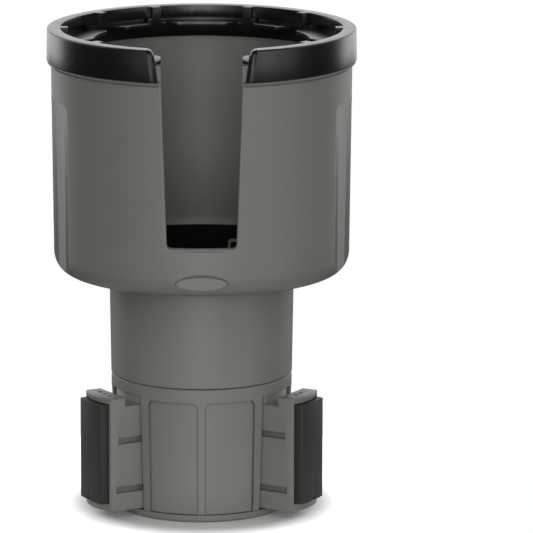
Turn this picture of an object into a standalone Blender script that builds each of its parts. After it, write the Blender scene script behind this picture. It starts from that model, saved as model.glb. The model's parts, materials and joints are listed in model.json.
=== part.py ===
"""Cup holder expander for a vehicle: a slotted cup on a self-centring three-jaw base.

Metres, +Z up, front (the open slot) towards -Y. The origin is the centre of the underside.
Turning the cup turns a spiral track under its neck, and the track drives three numbered jaws
out of the base until they grip the vehicle's own cup holder. The model stands with its jaws out.
"""
import math

import bmesh
import bpy
from mathutils import Vector

mm = 0.001

# Shared clearances and smoothness
GAP = 0.3 * mm                  # seat to seat, and running clearance
SEAM = 0.3 * mm                 # the line between the turning neck and the base
ROUND_STEPS = 64                # facets round the large turned pieces
SMALL_STEPS = 12                # facets round screws, pins and holes
ARC_STEP = math.radians(15)     # facet of a small fillet

# Base: a bottom cap, a drafted housing on it, and the turning neck above
HOUSING_TOP_RADIUS = 34.5 * mm
HOUSING_DRAFT = 1.3 * mm        # the housing's foot is smaller than its top by this
HOUSING_FOOT_RADIUS = HOUSING_TOP_RADIUS - HOUSING_DRAFT
HOUSING_WALL = 2.2 * mm
WELL_WALL = 2.2 * mm            # round the well that the spiral plate drops into
WINDOW_HEIGHT = 44.65 * mm
GUIDE_WALL = 1.6 * mm           # between a jaw's channel and the hollow beside it
DECK_THICKNESS = 2.0 * mm
CAP_THICKNESS = 2.85 * mm
CAP_STEP = 0.3 * mm             # the cap is smaller than the housing's foot by this
CAP_RADIUS = HOUSING_FOOT_RADIUS - CAP_STEP
CAP_EDGE = 1.0 * mm             # chamfer round the cap's underside
CAP_SCREW_INSET = 9.2 * mm      # in from the housing's foot
CAP_SCREW_CIRCLE = HOUSING_FOOT_RADIUS - CAP_SCREW_INSET
BOSS_RADIUS = 3.1 * mm
PANEL_DEPTH = 1.0 * mm
PANEL_CORNER = 1.8 * mm
PANEL_TOP_MARGIN = 1.0 * mm     # below the top of the windows
PANEL_SIDE_MARGIN = 3.3 * mm    # wall left between a panel and the jaw's window
PANEL_INNER_BEARING = math.radians(2.1)

# Jaws: three blocks that slide out of the windows
JAW_WIDTH = 19.46 * mm
JAW_SIDE_GAP = 0.9 * mm         # running clearance beside a jaw
JAW_TRAVEL = 12.6 * mm
JAW_STANDOFF = 0.1 * mm         # a closed jaw stands proud of the housing by this
JAW_REACH = HOUSING_TOP_RADIUS + JAW_STANDOFF + JAW_TRAVEL     # furthest point from the axis, jaws out
JAW_END_CURVE = 24.0 * mm       # radius of the curved outer end
JAW_CLEAR_BELOW = 0.95 * mm     # jaw underside above the bottom cap
JAW_STEP = 3.3 * mm             # outer block above the running top
JAW_BLOCK_LENGTH = 8.2 * mm
SHIELD_INSET = 0.9 * mm         # the curved rib that closes the window stands inside the housing's face
SHIELD_THICKNESS = 1.8 * mm
SHIELD_MARGIN = 1.1 * mm        # short of the jaw's side
DOT_RADIUS = 1.0 * mm
DOT_DEPTH = 1.6 * mm
DOT_PITCH = 3.75 * mm
DOT_INSET = 5.0 * mm            # in from the jaw's furthest point
GROOVE_HEIGHT = 2.6 * mm
GROOVE_DEPTH = 2.0 * mm
GROOVE_LOW_RISE = 6.8 * mm      # underside of the lower side groove above the jaw's underside
GROOVE_HIGH_DROP = 14.6 * mm    # underside of the upper side groove of jaw 3 below the running top
GROOVE_KEY_STEP = 2.1 * mm      # each jaw's upper groove sits higher, so no jaw fits another window
GROOVE_HIGH_STOP = 5.3 * mm     # solid left between a groove's end and the jaw's furthest point
GROOVE_LOW_STOP = 4.3 * mm
RIB_LENGTH = 10.0 * mm
CORE_WALL = 3.3 * mm            # side walls left round the moulding cores
CORE_END_WALL = 6.2 * mm
CORE_ROOF = 2.4 * mm            # left under the pin's seat
CORE_WEB = 2.2 * mm

# Rubber pads on the jaw ends
PAD_MARGIN_SIDE = 1.5 * mm
PAD_SIDE_GAP = 0.5 * mm
PAD_MARGIN_TOP = 2.2 * mm
PAD_MARGIN_FOOT = 3.1 * mm
PAD_SEAT_DEPTH = 1.0 * mm
PAD_PROUD = 2.1 * mm
PAD_CURVE = 60.0 * mm           # the gripping face is flatter than the jaw's end
PAD_CHAMFER = 0.6 * mm
PAD_STUD_RADIUS = 1.8 * mm
PAD_STUD_LENGTH = 2.4 * mm
PAD_KEY_WIDTH = 1.8 * mm
PAD_KEY_HEIGHT = 1.2 * mm

# Centre bolt and its stack
BOLT_RADIUS = 2.5 * mm
BOLT_HEAD_RADIUS = 5.0 * mm
BOLT_HEAD_HEIGHT = 3.5 * mm
INSERT_WALL = 1.5 * mm
INSERT_RADIUS = BOLT_RADIUS + INSERT_WALL
INSERT_LENGTH = 12.0 * mm
HUB_WALL = 0.9 * mm
HUB_RADIUS = INSERT_RADIUS + GAP + HUB_WALL
HUB_CLEARANCE = 1.0 * mm        # between the hub and a closed jaw
WASHER_MARGIN = 1.2 * mm        # beyond the bolt's head
WASHER_RADIUS = BOLT_HEAD_RADIUS + WASHER_MARGIN
WASHER_THICKNESS = 1.0 * mm
THRUST_THICKNESS = 0.8 * mm

# Spiral drive between the neck and the jaws
LEAD = JAW_TRAVEL               # one turn of the cup runs the jaws right in or out
SCROLL_RADIUS = HOUSING_TOP_RADIUS - WELL_WALL - GAP
SCROLL_THICKNESS = 4.1 * mm
SCROLL_RECESS = 0.1 * mm        # the plate's top lies below the housing's top by this
TRACK_ROOF = 1.9 * mm
TRACK_DEPTH = SCROLL_THICKNESS - TRACK_ROOF
TRACK_RIM = 1.2 * mm            # plate left outside the track
TRACK_STEP = math.radians(10)
PIN_RADIUS = 1.25 * mm
PIN_SEAT_DEPTH = 4.8 * mm
PIN_OUTER_CIRCLE = SCROLL_RADIUS - TRACK_RIM - GAP - PIN_RADIUS    # pin of jaw 3, jaws out
DRIVE_BOSS_INSET = 7.0 * mm     # in from the circle of the neck's own bosses
DRIVE_BOSS_RADIUS = 2.6 * mm

# Neck
NECK_STEP = 0.1 * mm            # the neck's foot is larger than the housing's top by this
NECK_DRAFT = 0.6 * mm           # the neck's top is larger than its foot by this
NECK_FOOT_RADIUS = HOUSING_TOP_RADIUS + NECK_STEP
NECK_TOP_RADIUS = NECK_FOOT_RADIUS + NECK_DRAFT
NECK_HEIGHT = 38.7 * mm
NECK_WALL = 2.6 * mm
NECK_WEB = 3.0 * mm
NECK_BOSS_INSET = 10.6 * mm     # in from the neck's foot
NECK_BOSS_CIRCLE = NECK_FOOT_RADIUS - NECK_BOSS_INSET
DRIVE_BOSS_CIRCLE = NECK_BOSS_CIRCLE - DRIVE_BOSS_INSET
NECK_BOSS_RADIUS = 4.2 * mm

# Cup
CUP_TOP_RADIUS = 57.1 * mm      # outside, under the shoulder
CUP_DRAFT = 0.8 * mm            # the wall's foot is smaller than its top by this
CUP_FOOT_RADIUS = CUP_TOP_RADIUS - CUP_DRAFT
CUP_FILLET = 8.0 * mm
CUP_WALL = 3.2 * mm
CUP_FLOOR = 4.4 * mm
CUP_FLOOR_FILLET = 6.3 * mm     # inside, round the floor
CUP_WALL_HEIGHT = 79.8 * mm     # underside to shoulder
CUP_WALL_ROWS = 5               # rows of facets up the wall
SHOULDER_STEP = 1.3 * mm        # the shoulder stands outside the wall by this
SHOULDER_RADIUS = CUP_TOP_RADIUS + SHOULDER_STEP
SHOULDER_HEIGHT = 0.9 * mm
SHOULDER_COVE = 0.8 * mm
SPIGOT_HEIGHT = 5.7 * mm        # thin wall above the shoulder, inside the rim
SPIGOT_INSET = 1.1 * mm
SPIGOT_RADIUS = CUP_TOP_RADIUS - SPIGOT_INSET
SLOT_FOOT_WIDTH = 25.8 * mm
SLOT_SPREAD = 4.6 * mm          # the slot is wider at its top by this
SLOT_TOP_WIDTH = SLOT_FOOT_WIDTH + SLOT_SPREAD
SLOT_SILL = 19.1 * mm           # above the cup's underside
SLOT_CORNER = 1.6 * mm
SLOT_EDGE_ROUND = 0.9 * mm
EDGE_STEPS = 4                  # facets of a rounded slot edge
GRIP_NEAR_BEARING = math.radians(62.0)
GRIP_RIDGE_BEARING = math.radians(90.0)
GRIP_CURVE = 200.0 * mm         # radius of each hollow, seen from above
GRIP_TOP_MARGIN = 11.9 * mm     # below the shoulder
GRIP_CORNER = 2.7 * mm
THUMB_SCOOP = (12.5 * mm, 4.0 * mm, 7.0 * mm)
THUMB_SCOOP_HEIGHT = 4.6 * mm   # centre above the cup's underside
THUMB_SCOOP_OFFSET = 2.6 * mm   # centre in front of the cup's face
TAB_OFFSET = 13.4 * mm          # upright mat locator, to the right of the axis
TAB_WIDTH = 6.8 * mm
TAB_THICKNESS = 1.6 * mm
TAB_HEIGHT = 4.3 * mm           # above the mat
TAB_BAR = 1.0 * mm
TAB_CORNER = 1.7 * mm
MAT_THICKNESS = 3.0 * mm
MAT_CHAMFER = 2.0 * mm
MAT_CLEARANCE = 0.8 * mm        # inside the curve round the cup's floor

# Rim: one soft moulding over the cup's mouth, with bottle flaps
RIM_OVERHANG = 0.4 * mm         # the rim's foot stands outside the shoulder by this
RIM_RADIUS = SHOULDER_RADIUS + RIM_OVERHANG
RIM_DRAFT = 0.2 * mm            # the rim's top is smaller than its foot by this
RIM_TOP_ROUND = 0.6 * mm
RIM_WIDTH = 8.1 * mm            # outside to the face of the posts
RIM_INNER_RADIUS = RIM_RADIUS - RIM_WIDTH
RIM_ROOF = 0.6 * mm             # over the top of the cup's wall
SKIRT_FLARE = 1.6 * mm          # the inner skirt is wider at its lower edge by this
SKIRT_LIFT = 0.2 * mm           # its lower edge is above the rim's foot by this
MOUTH_MARGIN = 1.0 * mm         # the rim's gap is wider than the slot by this, where they meet
MOUTH_SPREAD = 4.8 * mm         # the gap is wider at its top by this
RIM_MOUTH_FOOT = SLOT_TOP_WIDTH + MOUTH_MARGIN
RIM_MOUTH_TOP = RIM_MOUTH_FOOT + MOUTH_SPREAD
RIM_END_ROUND = 2.6 * mm
MOUTH_CORNER_MARGIN = 0.3 * mm  # the top corners of the gap are rounded by this much more than its edges
RIM_MOUTH_CORNER = RIM_END_ROUND + MOUTH_CORNER_MARGIN
POCKET_REACH = 2.9 * mm         # a pocket cuts back into the posts' face by this
POCKET_DEPTH = 4.1 * mm
RELIEF_REACH = 1.3 * mm         # the undercut above a flap's root reaches further than its pocket
RELIEF_HEIGHT = 1.6 * mm
POST_WIDTH = 3.4 * mm
POST_BEARINGS = (20.0, 48.0, 90.0, 132.0)          # degrees from the back, both sides
FLAP_REACH = 9.7 * mm           # in from the face of the posts
FLAP_TIP_RADIUS = RIM_INNER_RADIUS - FLAP_REACH
FLAP_THICKNESS = 1.2 * mm
FLAP_RISE = 0.9 * mm            # each flap lifts towards its tip
FLAP_CORNER = 2.6 * mm
FLAP_FREE_CORNER = 4.6 * mm     # both corners of the two flap ends that stand in the gap
FLAP_TAPER = 1.0                # degrees that each end draws in at the tip
FLAP_SPANS = ((0.0, 16.3), (36.0, 10.0), (74.5, 16.5), (112.0, 14.5), (148.0, 13.3))   # middle and half, degrees

# Screws
CAP_SCREW = dict(head=2.9 * mm, shank=1.2 * mm, length=12.0 * mm, head_height=1.5 * mm)
DRIVE_SCREW = dict(head=3.5 * mm, shank=1.25 * mm, length=4.3 * mm, head_height=1.8 * mm)
CUP_SCREW = dict(head=3.0 * mm, shank=1.4 * mm, length=12.0 * mm, head_height=1.9 * mm)

# Heights that follow from the stack
HOUSING_FOOT_Z = CAP_THICKNESS + GAP
WINDOW_TOP_Z = HOUSING_FOOT_Z + WINDOW_HEIGHT
DECK_TOP_Z = WINDOW_TOP_Z - GAP
JAW_FOOT_Z = CAP_THICKNESS + JAW_CLEAR_BELOW
JAW_TOP_Z = WINDOW_TOP_Z - GAP
JAW_RUN_Z = JAW_TOP_Z - JAW_STEP
GROOVE_LOW_Z = JAW_FOOT_Z + GROOVE_LOW_RISE
GROOVE_HIGH_Z = JAW_RUN_Z - GROOVE_HIGH_DROP
SCROLL_FOOT_Z = JAW_TOP_Z + GAP
SCROLL_TOP_Z = SCROLL_FOOT_Z + SCROLL_THICKNESS
HOUSING_TOP_Z = SCROLL_TOP_Z + SCROLL_RECESS
NECK_FOOT_Z = HOUSING_TOP_Z + SEAM
WEB_TOP_Z = NECK_FOOT_Z + NECK_WEB
NECK_TOP_Z = NECK_FOOT_Z + NECK_HEIGHT
CUP_FOOT_Z = NECK_TOP_Z + GAP
FLOOR_Z = CUP_FOOT_Z + CUP_FLOOR
MAT_TOP_Z = FLOOR_Z + GAP + MAT_THICKNESS
SHOULDER_Z = CUP_FOOT_Z + CUP_WALL_HEIGHT + SHOULDER_COVE + SHOULDER_HEIGHT
SPIGOT_Z = SHOULDER_Z + SPIGOT_HEIGHT
RIM_FOOT_Z = SHOULDER_Z + GAP
FLAP_ROOT_Z = SPIGOT_Z + GAP + RIM_ROOF
POCKET_FLOOR_Z = FLAP_ROOT_Z + RELIEF_HEIGHT
RIM_TOP_Z = POCKET_FLOOR_Z + POCKET_DEPTH
HUB_TOP_Z = SCROLL_FOOT_Z - 2 * GAP - THRUST_THICKNESS

# Widths and ends that follow from the jaws
HALF_JAW = JAW_WIDTH / 2
CHANNEL = HALF_JAW + JAW_SIDE_GAP
MEETING = (HALF_JAW + GAP) / math.tan(math.radians(60)) + GAP    # where three closed jaws would touch
JAW_INNER_END = JAW_TRAVEL + max(HUB_RADIUS + HUB_CLEARANCE, MEETING)
SHIELD_RADIUS = HOUSING_TOP_RADIUS - SHIELD_INSET
PANEL_OUTER_BEARING = math.radians(60) - math.asin((CHANNEL + PANEL_SIDE_MARGIN) / HOUSING_TOP_RADIUS)

# Bearings are measured from the front (-Y) towards +X. Jaw 1 is at the back.
JAWS = [(side, math.pi - i * math.tau / 3, i + 1) for i, side in enumerate(("back", "right", "left"))]
WALL_BEARINGS = [math.radians(b) for b in (0, 120, 240)]
SCREW_BEARINGS = [math.radians(b) for b in (45, 135, 225, 315)]

COLOURS = {
    "grey_plastic": ((0.145, 0.150, 0.128, 1), 0.48, 0.0),
    "black_rubber": ((0.016, 0.016, 0.015, 1), 0.62, 0.0),
    "pad_rubber": ((0.030, 0.032, 0.030, 1), 0.55, 0.0),
    "drive_plastic": ((0.55, 0.54, 0.50, 1), 0.40, 0.0),
    "steel": ((0.60, 0.60, 0.60, 1), 0.30, 1.0),
    "brass": ((0.70, 0.52, 0.24, 1), 0.32, 1.0),
}


def heading(bearing, radius=1.0, z=0.0):
    """Point at a bearing from the front, +X being at 90 degrees."""
    return Vector((radius * math.sin(bearing), -radius * math.cos(bearing), z))


def material(name):
    colour, roughness, metallic = COLOURS[name]
    found = bpy.data.materials.get(name)
    if found:
        return found
    made = bpy.data.materials.new(name)
    made.use_nodes = True
    shader = made.node_tree.nodes["Principled BSDF"]
    shader.inputs["Base Color"].default_value = colour
    shader.inputs["Roughness"].default_value = roughness
    shader.inputs["Metallic"].default_value = metallic
    made.diffuse_color = colour
    return made


def finish(bm, name, colour=None, smooth=True):
    """Close the mesh, turn its faces outwards and put it in the scene."""
    bmesh.ops.remove_doubles(bm, verts=bm.verts, dist=0.001 * mm)
    bmesh.ops.recalc_face_normals(bm, faces=bm.faces)
    mesh = bpy.data.meshes.new(name)
    bm.to_mesh(mesh)
    bm.free()
    if smooth:
        mesh.shade_smooth()
        mesh.set_sharp_from_angle(angle=math.radians(32))
    made = bpy.data.objects.new(name, mesh)
    bpy.context.scene.collection.objects.link(made)
    if colour:
        mesh.materials.append(material(colour))
    return made


def arc(centre, radius, start, end, step=ARC_STEP):
    """Points of a fillet in a profile, angles in degrees from +r towards +z."""
    a, b = math.radians(start), math.radians(end)
    count = max(2, math.ceil(abs(b - a) / step))
    angles = [a + (b - a) * i / count for i in range(count + 1)]
    return [(centre[0] + radius * math.cos(t), centre[1] + radius * math.sin(t)) for t in angles]


def add_turned(bm, profile, steps=ROUND_STEPS, at=(0.0, 0.0)):
    """Spin a closed (radius, z) profile about a vertical axis."""
    verts = [bm.verts.new((r + at[0], at[1], z)) for r, z in profile]
    edges = [bm.edges.new((a, b)) for a, b in zip(verts, verts[1:] + verts[:1])
             if abs(a.co.x - at[0]) + abs(b.co.x - at[0]) > 1e-9]
    bmesh.ops.spin(bm, geom=edges, cent=(at[0], at[1], 0), axis=(0, 0, 1), angle=math.tau, steps=steps,
                   use_merge=True)
    bmesh.ops.delete(bm, geom=[v for v in bm.verts if not v.link_faces], context="VERTS")


def turned(name, profile, colour=None, steps=ROUND_STEPS):
    bm = bmesh.new()
    add_turned(bm, profile, steps)
    return finish(bm, name, colour)


def add_drum(bm, radius, low, high, at=(0.0, 0.0), steps=SMALL_STEPS):
    """Plain round bar between two heights."""
    add_turned(bm, [(0, low), (radius, low), (radius, high), (0, high)], steps, at)


def drums(name, radius, low, high, places, colour=None, steps=SMALL_STEPS):
    bm = bmesh.new()
    for place in places:
        add_drum(bm, radius, low, high, (place.x, place.y), steps)
    return finish(bm, name, colour)


def add_prism(bm, outline, low, high):
    """Extrude a plan outline of (x, y) points between two heights."""
    face = bm.faces.new([bm.verts.new((x, y, low)) for x, y in outline])
    top = bmesh.ops.extrude_face_region(bm, geom=[face])
    verts = [item for item in top["geom"] if isinstance(item, bmesh.types.BMVert)]
    bmesh.ops.translate(bm, verts=verts, vec=(0, 0, high - low))


def add_lofted(bm, sections):
    """Skin closed sections that hold the same number of points, and cap both ends."""
    rings = [[bm.verts.new(p) for p in section] for section in sections]
    for near, far in zip(rings, rings[1:]):
        for i, vert in enumerate(near):
            j = (i + 1) % len(near)
            bm.faces.new((vert, near[j], far[j], far[i]))
    bm.faces.new(rings[0])
    bm.faces.new(rings[-1])


def add_jaw_box(bm, bearing, near, far, side_low, side_high, low, high):
    """Box in a jaw's own frame: distance out along the jaw, distance across it, height."""
    out, across = heading(bearing), heading(bearing + math.pi / 2)
    corners = [(near, side_low), (far, side_low), (far, side_high), (near, side_high)]
    plan = [out * d + across * s for d, s in corners]
    add_prism(bm, [(p.x, p.y) for p in plan], low, high)


def combine(target, tool, operation):
    """Add a Boolean modifier and hide its tool."""
    modifier = target.modifiers.new(tool.name, "BOOLEAN")
    modifier.operation = operation
    modifier.solver = "EXACT"
    modifier.object = tool
    tool.hide_render = True
    tool.display_type = "WIRE"
    return target


def cut(target, tool):
    return combine(target, tool, "DIFFERENCE")


def join(target, tool):
    return combine(target, tool, "UNION")


def sector_columns(bearings, inner, outer, low, high):
    """Sections of a cutter that follows a round wall; each size may vary with the bearing."""
    sections = []
    for b in bearings:
        sections.append([heading(b, inner(b, low(b)), low(b)), heading(b, outer, low(b)),
                         heading(b, outer, high(b)), heading(b, inner(b, high(b)), high(b))])
    return sections


def spread(first, last, count):
    return [first + (last - first) * i / count for i in range(count + 1)]


def rounded_height(distance_from_end, corner, level):
    """Height of an edge that drops through a rounded corner at its end."""
    if distance_from_end >= corner:
        return level
    short = corner - distance_from_end
    return level - corner + math.sqrt(max(corner ** 2 - short ** 2, 0.0))


def slot_outline(foot_width, top_width, foot, top, corner, flare, ceiling, grow):
    """Half-widths and heights of an upright slot, grown by a margin: rounded below, flared at its top edge."""
    slope = (top_width - foot_width) / 2 / (top - foot)

    def half(z):
        return foot_width / 2 + slope * (z - foot)

    low, turn = foot - grow, corner + grow
    if corner:
        points = [(half(low + turn) - corner + x, low + turn + z) for x, z in arc((0, 0), turn, -90, 0)]
    else:
        points = [(half(foot) + grow, low)]
    if flare:
        start = top - flare
        centre = half(start) + flare
        points += [(centre + x, start + z) for x, z in arc((0, 0), flare - grow, 180, 90)]
        points.append((centre, ceiling))
    else:
        points.append((half(ceiling) + grow, ceiling))
    return points


def slot_cutter(name, outline, surface, back, edge_round):
    """Cutter through a round front wall, opened out by a rounded edge that follows the wall's outside."""
    def section(grow, y_at):
        right = outline(grow)
        loop = right + [(-x, z) for x, z in reversed(right)]
        return [Vector((x, y_at(x, z), z)) for x, z in loop]

    sections = [section(0.0, lambda x, z: -back)]
    for t in spread(0, math.pi / 2, EDGE_STEPS):
        depth = edge_round * (1 - math.sin(t))
        sections.append(section(edge_round * (1 - math.cos(t)),
                                lambda x, z, depth=depth: -math.sqrt((surface(z) - depth) ** 2 - x ** 2)))
    front = max(surface(z) for _, z in outline(0.0)) + 5 * mm
    sections.append(section(edge_round, lambda x, z: -front))
    bm = bmesh.new()
    add_lofted(bm, sections)
    return finish(bm, name)


def bottom_cap():
    """Floor of the base: a disc with a hub post, six jaw rails and three screw seats."""
    top = CAP_THICKNESS
    profile = [(0, 0), (CAP_RADIUS - CAP_EDGE, 0), (CAP_RADIUS, CAP_EDGE), (CAP_RADIUS, top)]
    profile += [(HUB_RADIUS, top), (HUB_RADIUS, HUB_TOP_Z), (0, HUB_TOP_Z)]
    cap = turned("bottom_cap", profile, "grey_plastic")
    bm = bmesh.new()
    rail = HALF_JAW * 0.62
    for _, bearing, _ in JAWS:
        for side in (-1, 1):
            edges = sorted((side * rail, side * (rail - 1.6 * mm)))
            add_jaw_box(bm, bearing, HUB_RADIUS + 2 * mm + GUIDE_WALL, CAP_RADIUS - 3 * mm, edges[0], edges[1],
                        top / 2, JAW_FOOT_Z - GAP)
    join(cap, finish(bm, "cap_rails_tool"))
    bm = bmesh.new()
    add_drum(bm, INSERT_RADIUS + GAP, HUB_TOP_Z - INSERT_LENGTH - GAP, HUB_TOP_Z + 1 * mm)
    add_drum(bm, BOLT_RADIUS + GAP, HUB_TOP_Z - INSERT_LENGTH - 8 * mm, HUB_TOP_Z - INSERT_LENGTH)
    cut(cap, finish(bm, "hub_bore_tool"))
    bm = bmesh.new()
    head, shank = CAP_SCREW["head"] + GAP, CAP_SCREW["shank"] + GAP
    seat = CAP_SCREW["head_height"] + GAP
    for b in WALL_BEARINGS:
        p = heading(b, CAP_SCREW_CIRCLE)
        add_turned(bm, [(0, -1 * mm), (head, -1 * mm), (head, GAP), (shank, seat + GAP), (shank, top + 1 * mm),
                        (0, top + 1 * mm)], SMALL_STEPS, (p.x, p.y))
    cut(cap, finish(bm, "cap_screw_seats_tool"))
    return cap


def housing_radius(z):
    """Outside of the drafted housing wall at a height."""
    share = min(max((z - HOUSING_FOOT_Z) / WINDOW_HEIGHT, 0.0), 1.0)
    return HOUSING_FOOT_RADIUS + (HOUSING_TOP_RADIUS - HOUSING_FOOT_RADIUS) * share


def wedge_pocket(bearing, wall, low, high):
    """Core under a wall segment: the space between two jaw channels, less the guide walls."""
    def section(z):
        reach = housing_radius(z) - HOUSING_WALL
        offset = CHANNEL + wall
        swing = math.radians(60) - math.asin(offset / reach)
        apex = heading(bearing, offset / math.sin(math.radians(60)), z)
        return [apex] + [heading(bearing + s, reach, z) for s in spread(-swing, swing, 10)]
    return [section(low), section(high)]


def base_housing():
    """Drafted drum with three jaw windows, three cored wall segments and guide ribs."""
    edge = 0.35 * mm
    top = HOUSING_TOP_RADIUS
    profile = [(0, HOUSING_FOOT_Z), (HOUSING_FOOT_RADIUS, HOUSING_FOOT_Z), (top, WINDOW_TOP_Z)]
    profile += [(top, HOUSING_TOP_Z - edge), (top - edge, HOUSING_TOP_Z), (0, HOUSING_TOP_Z)]
    housing = turned("base_housing", profile, "grey_plastic")
    bm = bmesh.new()
    add_drum(bm, SCROLL_RADIUS + GAP, DECK_TOP_Z, HOUSING_TOP_Z + 5 * mm, steps=ROUND_STEPS)
    cut(housing, finish(bm, "scroll_well_tool"))
    for side, bearing, _ in JAWS:
        bm = bmesh.new()
        add_jaw_box(bm, bearing, 0, JAW_REACH, -CHANNEL, CHANNEL, -5 * mm, WINDOW_TOP_Z)
        cut(housing, finish(bm, "jaw_channel_tool_" + side, smooth=False))
    bm = bmesh.new()
    for b in WALL_BEARINGS:
        add_lofted(bm, wedge_pocket(b, GUIDE_WALL, -5 * mm, DECK_TOP_Z - DECK_THICKNESS))
    cut(housing, finish(bm, "segment_cores_tool", smooth=False))
    bm = bmesh.new()
    for b in WALL_BEARINGS:
        for side in (-1, 1):
            bearings = spread(side * PANEL_INNER_BEARING, side * PANEL_OUTER_BEARING, 14)
            ends = (min(bearings), max(bearings))

            def top_edge(bearing, ends=ends):
                run = min(abs(bearing - ends[0]), abs(bearing - ends[1])) * HOUSING_TOP_RADIUS
                return rounded_height(run, PANEL_CORNER, WINDOW_TOP_Z - PANEL_TOP_MARGIN)

            columns = sector_columns(bearings, lambda _, z: housing_radius(z) - PANEL_DEPTH,
                                     HOUSING_TOP_RADIUS + 3 * mm, lambda _: -1 * mm, top_edge)
            sections = [[turn_about_axis(p, b) for p in section] for section in columns]
            add_lofted(bm, sections)
    cut(housing, finish(bm, "wall_panels_tool", smooth=False))
    bm = bmesh.new()
    for b in WALL_BEARINGS:
        p = heading(b, CAP_SCREW_CIRCLE)
        add_drum(bm, BOSS_RADIUS, HOUSING_FOOT_Z, DECK_TOP_Z - DECK_THICKNESS / 2, (p.x, p.y))
    join(housing, finish(bm, "screw_bosses_tool"))
    cut(housing, drums("cap_pilot_tool", CAP_SCREW["shank"] + GAP, -5 * mm,
                       CAP_SCREW["length"] + 2 * GAP, [heading(b, CAP_SCREW_CIRCLE) for b in WALL_BEARINGS]))
    bm = bmesh.new()
    far = JAW_REACH - GROOVE_HIGH_STOP - JAW_TRAVEL - GAP
    for _, bearing, number in JAWS:
        for floor in (GROOVE_LOW_Z, upper_groove(number)):
            for side in (-1, 1):
                edges = sorted((side * (CHANNEL - GROOVE_DEPTH), side * (CHANNEL + GUIDE_WALL / 2)))
                add_jaw_box(bm, bearing, far - RIB_LENGTH, far, edges[0], edges[1],
                            floor + GAP, floor + GROOVE_HEIGHT - GAP)
    join(housing, finish(bm, "guide_ribs_tool", smooth=False))
    return housing


def turn_about_axis(point, angle):
    """Turn a point about the vertical axis so that the front moves to a bearing."""
    c, s = math.cos(angle), math.sin(angle)
    return Vector((c * point.x - s * point.y, s * point.x + c * point.y, point.z))


def upper_groove(number):
    return GROOVE_HIGH_Z + (3 - number) * GROOVE_KEY_STEP


def pin_circle(number):
    return PIN_OUTER_CIRCLE - (3 - number) * LEAD / 3


def jaw_plan(near, reach, half, steps=8):
    """Plan of a jaw in its own frame, with its curved outer end."""
    swing = math.asin(half / JAW_END_CURVE)
    end = [(reach - JAW_END_CURVE + JAW_END_CURVE * math.cos(t), JAW_END_CURVE * math.sin(t))
           for t in spread(-swing, swing, steps)]
    return [(near, half), (near, -half)] + end


def place_plan(bearing, plan):
    out, across = heading(bearing), heading(bearing + math.pi / 2)
    return [tuple((out * d + across * s).xy) for d, s in plan]


def jaw(side, bearing, number):
    """Sliding jaw: stepped top, curved rib at the window, side grooves, pad seat, dots, pin hole, cores."""
    bm = bmesh.new()
    add_prism(bm, place_plan(bearing, jaw_plan(JAW_INNER_END, JAW_REACH, HALF_JAW)), JAW_FOOT_Z, JAW_TOP_Z)
    made = finish(bm, "jaw_" + side, "grey_plastic")
    out, across = heading(bearing), heading(bearing + math.pi / 2)

    bm = bmesh.new()
    block_start = JAW_REACH - JAW_BLOCK_LENGTH
    add_jaw_box(bm, bearing, JAW_INNER_END - 5 * mm, block_start, -HALF_JAW - 5 * mm, HALF_JAW + 5 * mm,
                JAW_RUN_Z, JAW_TOP_Z + 5 * mm)
    cut(made, finish(bm, "jaw_step_tool_" + side, smooth=False))

    bm = bmesh.new()
    swing = math.asin((HALF_JAW - SHIELD_MARGIN) / SHIELD_RADIUS)
    face = [(SHIELD_RADIUS * math.cos(t), SHIELD_RADIUS * math.sin(t)) for t in spread(-swing, swing, 8)]
    back = [(d * (1 - SHIELD_THICKNESS / SHIELD_RADIUS), s) for d, s in reversed(face)]
    add_prism(bm, place_plan(bearing, face + back), JAW_RUN_Z - 1 * mm, JAW_TOP_Z)
    join(made, finish(bm, "jaw_shield_tool_" + side))

    bm = bmesh.new()
    for floor, stop in ((GROOVE_LOW_Z, GROOVE_LOW_STOP), (upper_groove(number), GROOVE_HIGH_STOP)):
        for hand in (-1, 1):
            edges = sorted((hand * (HALF_JAW - GROOVE_DEPTH), hand * (HALF_JAW + 3 * mm)))
            add_jaw_box(bm, bearing, JAW_INNER_END - 5 * mm, JAW_REACH - stop, edges[0], edges[1],
                        floor, floor + GROOVE_HEIGHT)
    core_half = HALF_JAW - CORE_WALL
    core_low, core_high = JAW_FOOT_Z + CORE_WEB, JAW_RUN_Z - PIN_SEAT_DEPTH - CORE_ROOF
    middle = (core_low + core_high) / 2
    for low, high in ((core_low, middle - CORE_WEB / 2), (middle + CORE_WEB / 2, core_high)):
        add_jaw_box(bm, bearing, JAW_INNER_END - 5 * mm, JAW_REACH - CORE_END_WALL, -core_half, core_half, low, high)
    cut(made, finish(bm, "jaw_hollows_tool_" + side, smooth=False))

    cut(made, pad_seat(side, bearing))
    bm = bmesh.new()
    dot_line = out * (JAW_REACH - DOT_INSET)
    for i in range(number):
        p = dot_line + across * DOT_PITCH * (i - (number - 1) / 2)
        add_drum(bm, DOT_RADIUS, JAW_TOP_Z - DOT_DEPTH, JAW_TOP_Z + 2 * mm, (p.x, p.y), 14)
    pin = out * pin_circle(number)
    add_drum(bm, PIN_RADIUS + GAP, JAW_RUN_Z - PIN_SEAT_DEPTH - GAP, JAW_TOP_Z + 2 * mm, (pin.x, pin.y))
    cut(made, finish(bm, "jaw_holes_tool_" + side))
    return made


def pad_heights(margin=0.0):
    return JAW_FOOT_Z + PAD_MARGIN_FOOT - margin, JAW_TOP_Z - PAD_MARGIN_TOP + margin


def stud_heights():
    """Heights of a pad's two studs."""
    low, high = pad_heights()
    quarter = (high - low) / 4
    return [low + quarter, high - quarter]


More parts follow.
